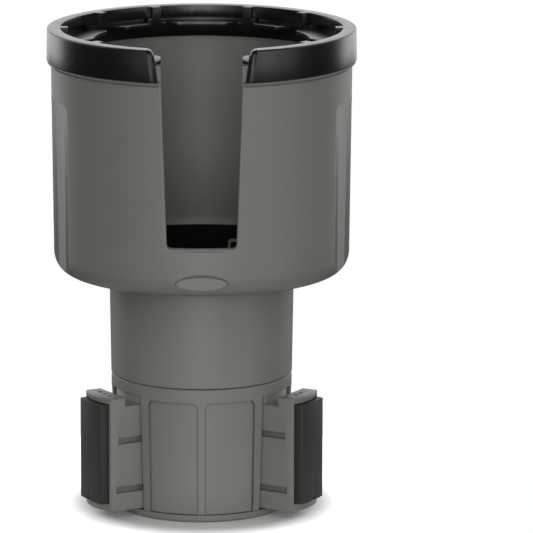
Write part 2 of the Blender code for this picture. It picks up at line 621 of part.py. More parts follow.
def add_stud(bm, bearing, radius, near, far, z):
    """Round stud along the jaw's direction."""
    out, across = heading(bearing), heading(bearing + math.pi / 2)
    up = Vector((0, 0, 1))
    rings = []
    for reach in (near, far):
        centre = out * reach + up * z
        rings.append([centre + across * radius * math.cos(t) + up * radius * math.sin(t)
                      for t in spread(0, math.tau, 14)[:-1]])
    add_lofted(bm, rings)


def pad_seat(side, bearing):
    """Recess in the jaw's curved end, with two stud holes and a locating nub left at its foot."""
    low, high = pad_heights(GAP)
    half = HALF_JAW - PAD_MARGIN_SIDE + PAD_SIDE_GAP
    floor = JAW_REACH - PAD_SEAT_DEPTH
    swing = math.asin(half / JAW_END_CURVE)
    curve = [(floor - JAW_END_CURVE + JAW_END_CURVE * math.cos(t), JAW_END_CURVE * math.sin(t))
             for t in spread(-swing, swing, 8)]
    plan = curve + [(JAW_REACH + 5 * mm, half), (JAW_REACH + 5 * mm, -half)]
    bm = bmesh.new()
    add_prism(bm, place_plan(bearing, plan), low, high)
    seat = finish(bm, "pad_seat_tool_" + side, smooth=False)
    bm = bmesh.new()
    key = PAD_KEY_WIDTH / 2 - GAP
    add_jaw_box(bm, bearing, 0, JAW_REACH + 9 * mm, -key, key, low - 5 * mm, low + PAD_KEY_HEIGHT)
    cut(seat, finish(bm, "pad_nub_tool_" + side, smooth=False))
    bm = bmesh.new()
    for z in stud_heights():
        add_stud(bm, bearing, PAD_STUD_RADIUS + GAP, floor - PAD_STUD_LENGTH - GAP, floor + 2 * mm, z)
    join(seat, finish(bm, "stud_holes_tool_" + side, smooth=False))
    return seat


def pad(side, bearing):
    """Rubber grip on a jaw's end, seated in its recess and held by two studs."""
    low, high = pad_heights()
    half = HALF_JAW - PAD_MARGIN_SIDE
    back = JAW_REACH - PAD_SEAT_DEPTH + GAP
    front = JAW_REACH + PAD_PROUD

    def curve(reach, width, radius):
        swing = math.asin(width / radius)
        return [(reach - radius + radius * math.cos(t), radius * math.sin(t)) for t in spread(-swing, swing, 8)]

    rear = curve(back, half, JAW_END_CURVE)
    face = curve(front, half - PAD_CHAMFER, PAD_CURVE)
    shoulder = front - PAD_CHAMFER - (PAD_CURVE - math.sqrt(PAD_CURVE ** 2 - half ** 2))
    plan = rear + [(shoulder, half)] + face[::-1] + [(shoulder, -half)]
    bm = bmesh.new()
    add_prism(bm, place_plan(bearing, plan), low, high)
    made = finish(bm, "pad_" + side, "pad_rubber")
    bm = bmesh.new()
    key = PAD_KEY_WIDTH / 2
    add_jaw_box(bm, bearing, back - 2 * mm, front + 2 * mm, -key, key, low - 2 * mm, low + PAD_KEY_HEIGHT)
    cut(made, finish(bm, "pad_notch_tool_" + side, smooth=False))
    bm = bmesh.new()
    for z in stud_heights():
        add_stud(bm, bearing, PAD_STUD_RADIUS, back - PAD_STUD_LENGTH, back + 1 * mm, z)
    join(made, finish(bm, "pad_studs_tool_" + side, smooth=False))
    return made


def spiral_point(angle, offset):
    """Point beside the track's centre line; angle is the jaw-3 pin's, growing as the track winds in."""
    radius = PIN_OUTER_CIRCLE - LEAD * angle / math.tau
    centre = Vector((radius, 0))
    tangent = Vector((-LEAD / math.tau, radius)).normalized()
    normal = Vector((tangent.y, -tangent.x))
    point = centre + normal * offset
    turn = angle + math.radians(210)
    c, s = math.cos(turn), math.sin(turn)
    return (c * point.x - s * point.y, s * point.x + c * point.y)


def track_outline():
    """Closed plan of the spiral track: out along one side, round the end, and back."""
    total = (PIN_OUTER_CIRCLE - (pin_circle(1) - JAW_TRAVEL)) / LEAD * math.tau
    count = math.ceil(total / TRACK_STEP)
    angles = spread(0, total, count)
    half = PIN_RADIUS + GAP
    outer = [spiral_point(a, half) for a in angles]
    inner = [spiral_point(a, -half) for a in reversed(angles)]

    def end_cap(angle, way):
        centre = Vector(spiral_point(angle, 0))
        first = Vector(spiral_point(angle, way * half)) - centre
        return [tuple(centre + Vector((first.x * math.cos(t) - first.y * math.sin(t),
                                       first.x * math.sin(t) + first.y * math.cos(t))))
                for t in spread(0, math.pi, 8)[1:-1]]

    return outer + end_cap(total, 1) + inner + end_cap(0, -1)


def scroll_plate():
    """Disc under the neck whose spiral track drives all three jaw pins, with three drive bosses on top."""
    edge = 0.5 * mm
    top = SCROLL_TOP_Z
    profile = [(0, SCROLL_FOOT_Z), (SCROLL_RADIUS, SCROLL_FOOT_Z), (SCROLL_RADIUS, top - edge)]
    profile += [(SCROLL_RADIUS - edge, top), (0, top)]
    plate = turned("scroll_plate", profile, "drive_plastic")
    bm = bmesh.new()
    add_prism(bm, track_outline(), SCROLL_FOOT_Z - 1 * mm, SCROLL_FOOT_Z + TRACK_DEPTH)
    cut(plate, finish(bm, "spiral_track_tool", smooth=False))
    places = [heading(b, DRIVE_BOSS_CIRCLE) for b in WALL_BEARINGS]
    join(plate, drums("drive_bosses_tool", DRIVE_BOSS_RADIUS, top - 1 * mm, WEB_TOP_Z - GAP, places))
    shank = DRIVE_SCREW["shank"] + GAP
    cut(plate, drums("drive_pilots_tool", shank, WEB_TOP_Z + GAP - DRIVE_SCREW["length"] - GAP,
                     WEB_TOP_Z + 2 * mm, places))
    cut(plate, drums("bolt_hole_tool", BOLT_RADIUS + GAP, SCROLL_FOOT_Z - 2 * mm, top + 2 * mm, [Vector((0, 0))]))
    return plate


def neck():
    """Turning collar under the cup: a drafted tube with a web that carries the scroll plate."""
    edge = 0.35 * mm
    inner_foot, inner_top = NECK_FOOT_RADIUS - NECK_WALL, NECK_TOP_RADIUS - NECK_WALL
    foot, top = NECK_FOOT_Z, NECK_TOP_Z
    profile = [(0, foot), (NECK_FOOT_RADIUS - edge, foot), (NECK_FOOT_RADIUS, foot + edge), (NECK_TOP_RADIUS, top)]
    profile += [(inner_top, top), (inner_foot, WEB_TOP_Z), (0, WEB_TOP_Z)]
    collar = turned("neck_collar", profile, "grey_plastic")
    places = [heading(b, NECK_BOSS_CIRCLE) for b in SCREW_BEARINGS]
    join(collar, drums("neck_bosses_tool", NECK_BOSS_RADIUS, WEB_TOP_Z - 1 * mm, top, places))
    depth = CUP_SCREW["length"] + 2 * GAP
    cut(collar, drums("neck_pilots_tool", CUP_SCREW["shank"] + GAP, top - depth, top + 2 * mm, places))
    drives = [heading(b, DRIVE_BOSS_CIRCLE) for b in WALL_BEARINGS]
    cut(collar, drums("drive_holes_tool", DRIVE_BOSS_RADIUS + GAP, foot - 2 * mm, WEB_TOP_Z + 2 * mm, drives))
    cut(collar, drums("neck_bolt_hole_tool", BOLT_RADIUS + GAP, foot - 2 * mm, WEB_TOP_Z + 2 * mm, [Vector((0, 0))]))
    return collar


def cup_radius(z):
    """Outside of the cup's drafted wall at a height."""
    foot = CUP_FOOT_Z + CUP_FILLET
    share = min(max((z - foot) / (CUP_WALL_HEIGHT - CUP_FILLET), 0.0), 1.0)
    return CUP_FOOT_RADIUS + (CUP_TOP_RADIUS - CUP_FOOT_RADIUS) * share


def grip_cutter(name, first, last):
    """Upright shallow hollow between two bearings, with rounded top corners."""
    middle, swing = (first + last) / 2, abs(last - first) / 2
    half = CUP_TOP_RADIUS * math.sin(swing)
    centre = CUP_TOP_RADIUS * math.cos(swing) + math.sqrt(GRIP_CURVE ** 2 - half ** 2)
    out, across = heading(middle), heading(middle + math.pi / 2)
    low, level = CUP_FOOT_Z, CUP_FOOT_Z + CUP_WALL_HEIGHT - GRIP_TOP_MARGIN
    draft = cup_radius(level) - cup_radius(low)
    sections = []
    for side in spread(-half - 2 * mm, half + 2 * mm, 16):
        near = centre - math.sqrt(GRIP_CURVE ** 2 - side ** 2) - (CUP_TOP_RADIUS - cup_radius(level))
        top = rounded_height(max(half - abs(side), 0.0), GRIP_CORNER, level)
        line = across * side
        sections.append([line + out * d + Vector((0, 0, z))
                         for d, z in ((near - draft, low), (near + 9 * mm, low), (near + 9 * mm, top), (near, top))])
    bm = bmesh.new()
    add_lofted(bm, sections)
    return finish(bm, name, smooth=False)


def locator_tab(bm):
    """Upright arch that stands through the mat beside the axis."""
    half, bar = TAB_WIDTH / 2, TAB_BAR
    top = MAT_TOP_Z + TAB_HEIGHT
    foot = FLOOR_Z - 1 * mm
    level, middle = top - TAB_CORNER, half - TAB_CORNER
    outer = [(half, foot)] + arc((middle, level), TAB_CORNER, 0, 90)
    outer += arc((-middle, level), TAB_CORNER, 90, 180) + [(-half, foot)]
    inner_foot = MAT_TOP_Z + TAB_BAR / 2
    inner = [(half - bar, inner_foot)] + arc((middle, level), TAB_CORNER - bar, 0, 90)
    inner += arc((-middle, level), TAB_CORNER - bar, 90, 180) + [(bar - half, inner_foot)]
    for outline, grow, target in ((outer, 0.0, bm[0]), (inner, 2 * mm, bm[1])):
        thick = TAB_THICKNESS / 2 + grow
        add_lofted(target, [[Vector((TAB_OFFSET + x, y, z)) for x, z in outline] for y in (-thick, thick)])


def floor_curve_radius(height):
    """Inside of the cup within the curve round its floor, at a height above the floor."""
    short = max(CUP_FLOOR_FILLET - height, 0.0)
    return CUP_FOOT_RADIUS - CUP_WALL - CUP_FLOOR_FILLET + math.sqrt(CUP_FLOOR_FILLET ** 2 - short ** 2)


def cup_body():
    """Slotted cup in one moulding: floor, drafted wall, shoulder, spigot, grips and mat locator."""
    foot, fillet = CUP_FOOT_Z, CUP_FILLET
    shoulder_foot = foot + CUP_WALL_HEIGHT
    outside = [(0, foot)] + arc((CUP_FOOT_RADIUS - fillet, foot + fillet), fillet, -90, 0)
    outside += [(cup_radius(z), z) for z in spread(foot + fillet, shoulder_foot, CUP_WALL_ROWS)[1:]]
    outside += [(SHOULDER_RADIUS - 0.4 * mm, shoulder_foot + SHOULDER_COVE)]
    outside += [(SHOULDER_RADIUS, shoulder_foot + SHOULDER_COVE + 0.3 * mm), (SHOULDER_RADIUS, SHOULDER_Z - 0.3 * mm)]
    outside += [(SHOULDER_RADIUS - 0.3 * mm, SHOULDER_Z), (SPIGOT_RADIUS, SHOULDER_Z)]
    outside += [(SPIGOT_RADIUS, SPIGOT_Z - 0.4 * mm), (SPIGOT_RADIUS - 0.4 * mm, SPIGOT_Z)]
    curve = CUP_FLOOR_FILLET
    inside = [(CUP_TOP_RADIUS - CUP_WALL, SPIGOT_Z)]
    inside += [(cup_radius(z) - CUP_WALL, z) for z in spread(shoulder_foot, FLOOR_Z + curve, CUP_WALL_ROWS)[:-1]]
    inside += arc((CUP_FOOT_RADIUS - CUP_WALL - curve, FLOOR_Z + curve), curve, 0, -90)
    cup = turned("cup_body", outside + inside + [(0, FLOOR_Z)], "grey_plastic")

    def slot(grow):
        return slot_outline(SLOT_FOOT_WIDTH, SLOT_TOP_WIDTH, foot + SLOT_SILL, SPIGOT_Z, SLOT_CORNER, 0,
                            SPIGOT_Z + 6 * mm, grow)

    behind = math.sqrt((CUP_FOOT_RADIUS - CUP_WALL) ** 2 - (SLOT_TOP_WIDTH / 2) ** 2) - CUP_WALL
    cut(cup, slot_cutter("cup_slot_tool", slot, cup_radius, behind, SLOT_EDGE_ROUND))
    for side in (-1, 1):
        spans = ((GRIP_NEAR_BEARING, GRIP_RIDGE_BEARING), (GRIP_RIDGE_BEARING, math.pi - GRIP_NEAR_BEARING))
        for i, (first, last) in enumerate(spans):
            inset = math.radians(0.25)
            cut(cup, grip_cutter("grip_tool_%s%d" % ("left" if side < 0 else "right", i),
                                 side * (first + inset), side * (last - inset)))
    bm = bmesh.new()
    bmesh.ops.create_uvsphere(bm, u_segments=28, v_segments=16, radius=1)
    bmesh.ops.scale(bm, verts=bm.verts, vec=THUMB_SCOOP)
    centre = (0, -CUP_FOOT_RADIUS - THUMB_SCOOP_OFFSET, foot + THUMB_SCOOP_HEIGHT)
    bmesh.ops.translate(bm, verts=bm.verts, vec=centre)
    cut(cup, finish(bm, "thumb_scoop_tool"))
    arch = (bmesh.new(), bmesh.new())
    locator_tab(arch)
    join(cup, finish(arch[0], "locator_tab_tool", smooth=False))
    cut(cup, finish(arch[1], "locator_window_tool", smooth=False))
    bm = bmesh.new()
    head, shank = CUP_SCREW["head"] + GAP, CUP_SCREW["shank"] + GAP
    seat = FLOOR_Z - CUP_SCREW["head_height"] - GAP
    for b in SCREW_BEARINGS:
        p = heading(b, NECK_BOSS_CIRCLE)
        add_turned(bm, [(0, foot - 1 * mm), (shank, foot - 1 * mm), (shank, seat), (head, seat),
                        (head, FLOOR_Z + 1 * mm), (0, FLOOR_Z + 1 * mm)], SMALL_STEPS, (p.x, p.y))
    cut(cup, finish(bm, "floor_screw_seats_tool"))
    return cup


def floor_mat():
    """Loose rubber disc on the cup's floor, notched round the locator."""
    low, high, edge = FLOOR_Z + GAP, MAT_TOP_Z, 0.3 * mm
    under = floor_curve_radius(GAP) - GAP
    radius = floor_curve_radius(GAP + MAT_CHAMFER) - MAT_CLEARANCE
    profile = [(0, low), (under, low), (radius, low + MAT_CHAMFER), (radius, high - edge)]
    profile += [(radius - edge, high), (0, high)]
    mat = turned("floor_mat", profile, "black_rubber")
    bm = bmesh.new()
    half, thick = TAB_WIDTH / 2 + GAP, TAB_THICKNESS / 2 + GAP
    corners = [(-half, -thick), (half, -thick), (half, thick), (-half, thick)]
    add_prism(bm, [(TAB_OFFSET + x, y) for x, y in corners], low - 2 * mm, high + 2 * mm)
    cut(mat, finish(bm, "mat_notch_tool", smooth=False))
    return mat


def flap_shares(half, corners):
    """Where a flap gets its columns, as shares of its half-angle: closer together at its rounded ends."""
    starts, ends = [[corner / FLAP_TIP_RADIUS / half * s for s in (0, 0.08, 0.3, 0.6)] for corner in corners]
    middle = spread(corners[0] / FLAP_TIP_RADIUS / half - 1, 1 - corners[1] / FLAP_TIP_RADIUS / half, 4)
    return [s - 1 for s in starts] + middle + [1 - s for s in reversed(ends)]


def flap_sector(bm, middle, half, free):
    """One bottle flap: a thin tongue from its root in the rim's wall. Its free end stands in the gap."""
    full_root = RIM_INNER_RADIUS + RELIEF_REACH
    tip_half = half - math.radians(FLAP_TAPER)
    corners = [FLAP_FREE_CORNER if free == side else FLAP_CORNER for side in (-1, 1)]
    sections = []
    for share in flap_shares(half, corners):
        near, far = middle + share * half, middle + share * tip_half
        run = (1 - abs(share)) * half * FLAP_TIP_RADIUS
        drawn_in = -rounded_height(run, corners[share > 0], 0.0)
        tip = FLAP_TIP_RADIUS + drawn_in
        root = full_root - (drawn_in if free * share > 0 else 0.0)
        heights = [FLAP_ROOT_Z + FLAP_RISE * (full_root - r) / FLAP_REACH for r in (root, tip)]
        sections.append([heading(near, root, heights[0]), heading(far, tip, heights[1]),
                         heading(far, tip, heights[1] - FLAP_THICKNESS),
                         heading(near, root, heights[0] - FLAP_THICKNESS)])
    add_lofted(bm, sections)


def relief_sector(bm, middle, half):
    """Gap above a flap's root, cut back into the wall."""
    bearings = spread(middle - half, middle + half, max(4, round(math.degrees(half) / 2.5)))
    reach = RIM_INNER_RADIUS + POCKET_REACH + RELIEF_REACH
    add_lofted(bm, sector_columns(bearings, lambda *_: RIM_INNER_RADIUS - 3 * mm, reach,
                                  lambda _: FLAP_ROOT_Z - 0.1 * mm, lambda _: POCKET_FLOOR_Z + 0.1 * mm))


def rim_ring():
    """Soft rim over the cup's mouth: outer band, inner skirt, posts, pockets and bottle flaps."""
    top, foot = RIM_TOP_Z, RIM_FOOT_Z
    band_inside = SPIGOT_RADIUS + GAP
    skirt_outside = CUP_TOP_RADIUS - CUP_WALL - GAP
    skirt_foot = foot + SKIRT_LIFT
    channel = SPIGOT_Z + GAP
    crown = RIM_RADIUS - RIM_DRAFT - RIM_TOP_ROUND
    profile = [(band_inside, foot), (RIM_RADIUS - 0.2 * mm, foot), (RIM_RADIUS, foot + 0.2 * mm)]
    profile += arc((crown, top - RIM_TOP_ROUND), RIM_TOP_ROUND, 0, 90, math.radians(30))
    profile += [(RIM_INNER_RADIUS, top), (RIM_INNER_RADIUS, FLAP_ROOT_Z - FLAP_THICKNESS)]
    profile += [(RIM_INNER_RADIUS + SKIRT_FLARE, skirt_foot), (skirt_outside, skirt_foot), (skirt_outside, channel)]
    profile += [(band_inside, channel)]
    rim = turned("rim_ring", profile, "black_rubber")

    posts = [math.radians(b) for b in POST_BEARINGS]
    edges = [-posts[0]] + posts
    ends = math.radians(180) - math.asin(RIM_MOUTH_FOOT / 2 / RIM_RADIUS)
    half_post = POST_WIDTH / 2 / RIM_INNER_RADIUS
    bm = bmesh.new()
    for i, start in enumerate(edges):
        stop = edges[i + 1] if i + 1 < len(edges) else ends + math.radians(4)
        sides = (1,) if i == 0 else (-1, 1)
        for side in sides:
            bearings = [math.pi + side * b for b in spread(start + half_post, stop - half_post,
                                                         max(4, round(math.degrees(stop - start) / 5)))]
            add_lofted(bm, sector_columns(bearings, lambda *_: RIM_INNER_RADIUS - 4 * mm,
                                          RIM_INNER_RADIUS + POCKET_REACH,
                                          lambda _: POCKET_FLOOR_Z, lambda _: top + 4 * mm))
    cut(rim, finish(bm, "rim_pockets_tool", smooth=False))

    reliefs, flaps = bmesh.new(), bmesh.new()
    for middle, half in FLAP_SPANS:
        for side in ((1,) if middle == 0 else (-1, 1)):
            bearing = math.pi + side * math.radians(middle)
            relief_sector(reliefs, bearing, math.radians(half + 2.0))
            free = side if middle == FLAP_SPANS[-1][0] else 0
            flap_sector(flaps, bearing, math.radians(half), free)
    cut(rim, finish(reliefs, "flap_reliefs_tool", smooth=False))

    def mouth(grow):
        points = slot_outline(RIM_MOUTH_FOOT, RIM_MOUTH_TOP, foot, top, 0, RIM_MOUTH_CORNER, top + 6 * mm, grow)
        return [(points[0][0], foot - 4 * mm)] + points[1:]

    behind = math.sqrt(RIM_INNER_RADIUS ** 2 - (RIM_MOUTH_TOP / 2) ** 2) - RIM_MOUTH_CORNER
    cut(rim, slot_cutter("rim_mouth_tool", mouth, lambda z: RIM_RADIUS, behind, RIM_END_ROUND))
    join(rim, finish(flaps, "flaps_tool", smooth=False))
    return rim


def add_screw(bm, size, at, seat):
    """Socketed pan-head screw that points down from its seat."""
    head, shank = size["head"], size["shank"]
    rise, length = size["head_height"], size["length"]
    socket = head * 0.42
    levels = [(0, seat + rise * 0.5), (socket, seat + rise * 0.5), (socket, seat + rise), (head * 0.8, seat + rise),
              (head, seat + rise * 0.6), (head, seat), (shank, seat), (shank, seat - length + shank),
              (0, seat - length)]
    add_turned(bm, levels, SMALL_STEPS, (at.x, at.y))


def screws(name, size, places, seat):
    made = []
    for i, at in enumerate(places, 1):
        bm = bmesh.new()
        add_screw(bm, size, at, seat)
        made.append(finish(bm, "%s_%d" % (name, i), "steel"))
    return made


def cap_screws():
    """Countersunk screws from below into the housing's bosses."""
    head, shank = CAP_SCREW["head"], CAP_SCREW["shank"]
    rise, length = CAP_SCREW["head_height"], CAP_SCREW["length"]
    socket = head * 0.4
    for i, b in enumerate(WALL_BEARINGS, 1):
        p = heading(b, CAP_SCREW_CIRCLE)
        bm = bmesh.new()
        add_turned(bm, [(0, GAP + rise * 0.4), (socket, GAP + rise * 0.4), (socket, GAP), (head, GAP),
                        (shank, GAP + rise), (shank, GAP + length - shank), (0, GAP + length)],
                   SMALL_STEPS, (p.x, p.y))
        finish(bm, "cap_screw_%d" % i, "steel")


def centre_stack():
    """Bolt, washers and threaded insert that hold the turning neck to the base."""
    insert_foot = HUB_TOP_Z - INSERT_LENGTH
    hole = BOLT_RADIUS + GAP
    turned("hub_insert", [(hole, insert_foot), (INSERT_RADIUS, insert_foot), (INSERT_RADIUS, HUB_TOP_Z - GAP),
                          (hole, HUB_TOP_Z - GAP)], "brass", 32)
    thrust = HUB_TOP_Z + GAP
    turned("thrust_washer", [(hole, thrust), (HUB_RADIUS, thrust), (HUB_RADIUS, thrust + THRUST_THICKNESS),
                             (hole, thrust + THRUST_THICKNESS)], "steel", 32)
    washer = WEB_TOP_Z + GAP
    turned("bolt_washer", [(hole, washer), (WASHER_RADIUS, washer), (WASHER_RADIUS, washer + WASHER_THICKNESS),
                           (hole, washer + WASHER_THICKNESS)], "steel", 32)
    seat = washer + WASHER_THICKNESS + GAP
    bm = bmesh.new()
    add_turned(bm, [(0, insert_foot + GAP), (BOLT_RADIUS - 0.4 * mm, insert_foot + GAP),
                    (BOLT_RADIUS, insert_foot + GAP + 0.4 * mm), (BOLT_RADIUS, seat + 1 * mm), (0, seat + 1 * mm)], 24)
    bolt = finish(bm, "centre_bolt", "steel")
    bm = bmesh.new()
    corners = [heading(math.radians(60 * i), BOLT_HEAD_RADIUS) for i in range(6)]
    add_prism(bm, [(p.x, p.y) for p in corners], seat, seat + BOLT_HEAD_HEIGHT)
    join(bolt, finish(bm, "bolt_head_tool", smooth=False))
    return bolt


def pivot(name, place, children):
    """Empty on a joint's axis that carries what moves with it."""
    empty = bpy.data.objects.new(name, None)
    empty.location = place
    bpy.context.scene.collection.objects.link(empty)
    bpy.context.view_layer.update()
    for child in children:
        child.parent = empty
        child.matrix_parent_inverse = empty.matrix_world.inverted()


def build():
    for old in list(bpy.data.objects):
        bpy.data.objects.remove(old, do_unlink=True)
    bottom_cap()
    base_housing()
    cap_screws()
    centre_stack()
    for side, bearing, number in JAWS:
        pin_at = heading(bearing, pin_circle(number))
        pin = drums("pin_" + side, PIN_RADIUS, JAW_RUN_Z - PIN_SEAT_DEPTH, SCROLL_FOOT_Z + TRACK_DEPTH - GAP,
                    [pin_at], "steel")
        pivot("slide_" + side, pin_at, [jaw(side, bearing, number), pad(side, bearing), pin])
    places = [heading(b, DRIVE_BOSS_CIRCLE) for b in WALL_BEARINGS]
    drive = screws("drive_screw", DRIVE_SCREW, places, WEB_TOP_Z + GAP)
    places = [heading(b, NECK_BOSS_CIRCLE) for b in SCREW_BEARINGS]
    floor = screws("cup_screw", CUP_SCREW, places, FLOOR_Z - CUP_SCREW["head_height"])
    cup = [scroll_plate(), neck(), cup_body(), floor_mat(), rim_ring()]
    pivot("cup_turn", (0, 0, NECK_FOOT_Z), cup + drive + floor)


build()
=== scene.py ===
# %% [markdown]
# # Cup holder expander
# A slotted cup stands on a round neck, and the neck on a base with three padded jaws. Turning the
# cup drives the jaws out until they grip a vehicle's own cup holder.
# The model gives every size and every movement. This script builds finer copies of the
# pieces that are seen, gives each surface its material, and sets up the studio and the camera.
# All lengths are in metres, +Z is up and the open slot faces -Y.

import json
import math

import bmesh
import bpy
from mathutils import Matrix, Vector


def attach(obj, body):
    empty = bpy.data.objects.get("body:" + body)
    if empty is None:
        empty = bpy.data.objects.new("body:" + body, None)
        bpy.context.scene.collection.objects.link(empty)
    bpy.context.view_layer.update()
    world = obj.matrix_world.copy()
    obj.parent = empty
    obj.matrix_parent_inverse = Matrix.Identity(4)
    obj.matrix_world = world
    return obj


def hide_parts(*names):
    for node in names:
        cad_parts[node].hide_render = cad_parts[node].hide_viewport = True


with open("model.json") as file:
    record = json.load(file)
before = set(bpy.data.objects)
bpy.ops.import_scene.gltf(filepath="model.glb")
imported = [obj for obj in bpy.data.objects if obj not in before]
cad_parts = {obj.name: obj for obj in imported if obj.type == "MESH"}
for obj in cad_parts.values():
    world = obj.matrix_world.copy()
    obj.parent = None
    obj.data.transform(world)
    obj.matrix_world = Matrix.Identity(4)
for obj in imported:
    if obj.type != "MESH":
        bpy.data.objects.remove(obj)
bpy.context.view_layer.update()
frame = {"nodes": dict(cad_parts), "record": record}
mm = 0.001

# %% [markdown]
# ## Clearances and smoothness
# Moulded pieces never touch all over: they sit with a small gap, and that gap is the dark line
# that the eye reads as a joint. The gaps are the checked model's own. The facets could be left to
# a subdivision modifier, but turned shapes stay truly round if they simply get more of them.

# %% Gaps and facets
GAP = 0.3 * mm                  # seat to seat, and running clearance
SEAM = 0.3 * mm                 # the line between the turning neck and the base
ROUND_STEPS = 192               # facets round the large turned pieces
SMALL_STEPS = 24                # facets round screws, pins and holes
CURVE_STEPS = 8                 # facets of a jaw's or pad's curved end
ARC_STEP = math.radians(6)      # facet of a small fillet
EDGE_STEPS = 8                  # facets of a rounded slot edge
OVERRUN = 5 * mm                # how far a cutter runs past what it cuts
OVERLAP = 1 * mm                # how far a joined solid reaches into its neighbour
print("facets round a turned piece:", ROUND_STEPS)

# %% [markdown]
# ## Points on and round the axis
# Nearly everything on this object stands round one upright axis. So places are given as a bearing
# from the front and a distance from the axis, and only turned into x and y at the last moment.
# Jaw 1 is at the back, and the wall segments stand between the jaws.


# %% Bearings, fillets and turns
def heading(bearing, radius=1.0, z=0.0):
    """Point at a bearing from the front, +X being at 90 degrees."""
    return Vector((radius * math.sin(bearing), -radius * math.cos(bearing), z))


def arc(centre, radius, start, end, step=ARC_STEP):
    """Points of a fillet in a profile, angles in degrees from +r towards +z."""
    a, b = math.radians(start), math.radians(end)
    count = max(2, math.ceil(abs(b - a) / step))
    angles = [a + (b - a) * i / count for i in range(count + 1)]
    return [(centre[0] + radius * math.cos(t), centre[1] + radius * math.sin(t)) for t in angles]


def spread(first, last, count):
    """Evenly spaced values from first to last, both included."""
    return [first + (last - first) * i / count for i in range(count + 1)]


def turn_about_axis(point, angle):
    """Turn a point about the vertical axis so that the front moves to a bearing."""
    c, s = math.cos(angle), math.sin(angle)
    return Vector((c * point.x - s * point.y, s * point.x + c * point.y, point.z))


def place_plan(bearing, plan):
    """Turn a plan of (distance out, distance across) into x and y."""
    out, across = heading(bearing), heading(bearing + math.pi / 2)
    return [tuple((out * d + across * s).xy) for d, s in plan]


def rounded_height(distance_from_end, corner, level):
    """Height of an edge that drops through a rounded corner at its end."""
    if distance_from_end >= corner:
        return level
    short = corner - distance_from_end
    return level - corner + math.sqrt(max(corner ** 2 - short ** 2, 0.0))


# A jaw's side, its bearing from the front (-Y) towards +X, and its number
JAWS = [(side, math.pi - i * math.tau / 3, i + 1) for i, side in enumerate(("back", "right", "left"))]
WALL_BEARINGS = [math.radians(b) for b in (0, 120, 240)]
SCREW_BEARINGS = [math.radians(b) for b in (45, 135, 225, 315)]
HALF_SEGMENT = math.radians(60) # from the middle of a wall segment to the middle of a jaw
print("jaws at", [round(math.degrees(bearing)) for _, bearing, _ in JAWS], "degrees from the front")

# %% [markdown]
# ## Cutting and joining
# A moulded piece is made of simple solids that are cut from or joined to one another. Boolean
# modifiers could stay live on the object, with their cutters hidden beside it. Here each one is
# worked into the mesh at once, so no hidden cutter is left behind in the finished scene.
# A cutter runs a few millimetres past what it cuts, because two faces in one plane cut badly.


# %% One mesh from several
def finish(bm, name, slot=None):
    """Close the mesh, turn its faces outwards and put it in the scene."""
    bmesh.ops.remove_doubles(bm, verts=bm.verts, dist=0.001 * mm)
    bmesh.ops.recalc_face_normals(bm, faces=bm.faces)
    mesh = bpy.data.meshes.new(name)
    bm.to_mesh(mesh)
    bm.free()
    made = bpy.data.objects.new("fine_" + name, mesh)
    bpy.context.scene.collection.objects.link(made)
    if slot:
        made["slot"] = slot
    return made


def settle(target):
    """Work the object's modifiers into its mesh."""
    shaped = target.evaluated_get(bpy.context.evaluated_depsgraph_get())
    mesh = bpy.data.meshes.new_from_object(shaped)
    target.modifiers.clear()
    target.data = mesh


def combine(target, tool, operation):
    """Cut from or join to a piece, and remove the solid that did it."""
    modifier = target.modifiers.new("shape", "BOOLEAN")
    modifier.operation = operation
    modifier.solver = "EXACT"
    modifier.object = tool
    settle(target)
    bpy.data.objects.remove(tool)


def cut(target, tool):
    combine(target, tool, "DIFFERENCE")


def join(target, tool):
    combine(target, tool, "UNION")


def soften(target, width):
    """Round every hard edge a little."""
    modifier = target.modifiers.new("edges", "BEVEL")
    modifier.width = width
    modifier.segments = 2
    modifier.limit_method = "ANGLE"
    modifier.angle_limit = math.radians(32)
    modifier.use_clamp_overlap = True
    settle(target)


# %% [markdown]
# ## Simple solids
# Four ways of making a solid are enough here: spinning a profile, standing bars side by side,
# pushing a plan upwards, and skinning a row of sections. Primitive cylinders and cubes would need
# scaling and placing by hand, while these take their size and place straight from the values.


# %% Turned, extruded and skinned solids
def add_turned(bm, profile, steps=ROUND_STEPS, at=(0.0, 0.0)):
    """Spin a closed (radius, z) profile about a vertical axis."""
    verts = [bm.verts.new((r + at[0], at[1], z)) for r, z in profile]
    edges = [bm.edges.new((a, b)) for a, b in zip(verts, verts[1:] + verts[:1])
             if abs(a.co.x - at[0]) + abs(b.co.x - at[0]) > 1e-9]
    bmesh.ops.spin(bm, geom=edges, cent=(at[0], at[1], 0), axis=(0, 0, 1), angle=math.tau, steps=steps,
                   use_merge=True)
    bmesh.ops.delete(bm, geom=[v for v in bm.verts if not v.link_faces], context="VERTS")


def turned(name, profile, slot):
    """Round piece from a closed profile."""
    bm = bmesh.new()
    add_turned(bm, profile)
    return finish(bm, name, slot)


def add_drum(bm, radius, low, high, at=(0.0, 0.0), steps=SMALL_STEPS):
    """Plain round bar between two heights."""
    add_turned(bm, [(0, low), (radius, low), (radius, high), (0, high)], steps, at)


def drums(name, radius, low, high, places):
    """Like round bars at several places, as one solid."""
    bm = bmesh.new()
    for place in places:
        add_drum(bm, radius, low, high, (place.x, place.y))
    return finish(bm, name)


def add_prism(bm, outline, low, high):
    """Extrude a plan outline of (x, y) points between two heights."""
    face = bm.faces.new([bm.verts.new((x, y, low)) for x, y in outline])
    top = bmesh.ops.extrude_face_region(bm, geom=[face])
    verts = [item for item in top["geom"] if isinstance(item, bmesh.types.BMVert)]
    bmesh.ops.translate(bm, verts=verts, vec=(0, 0, high - low))


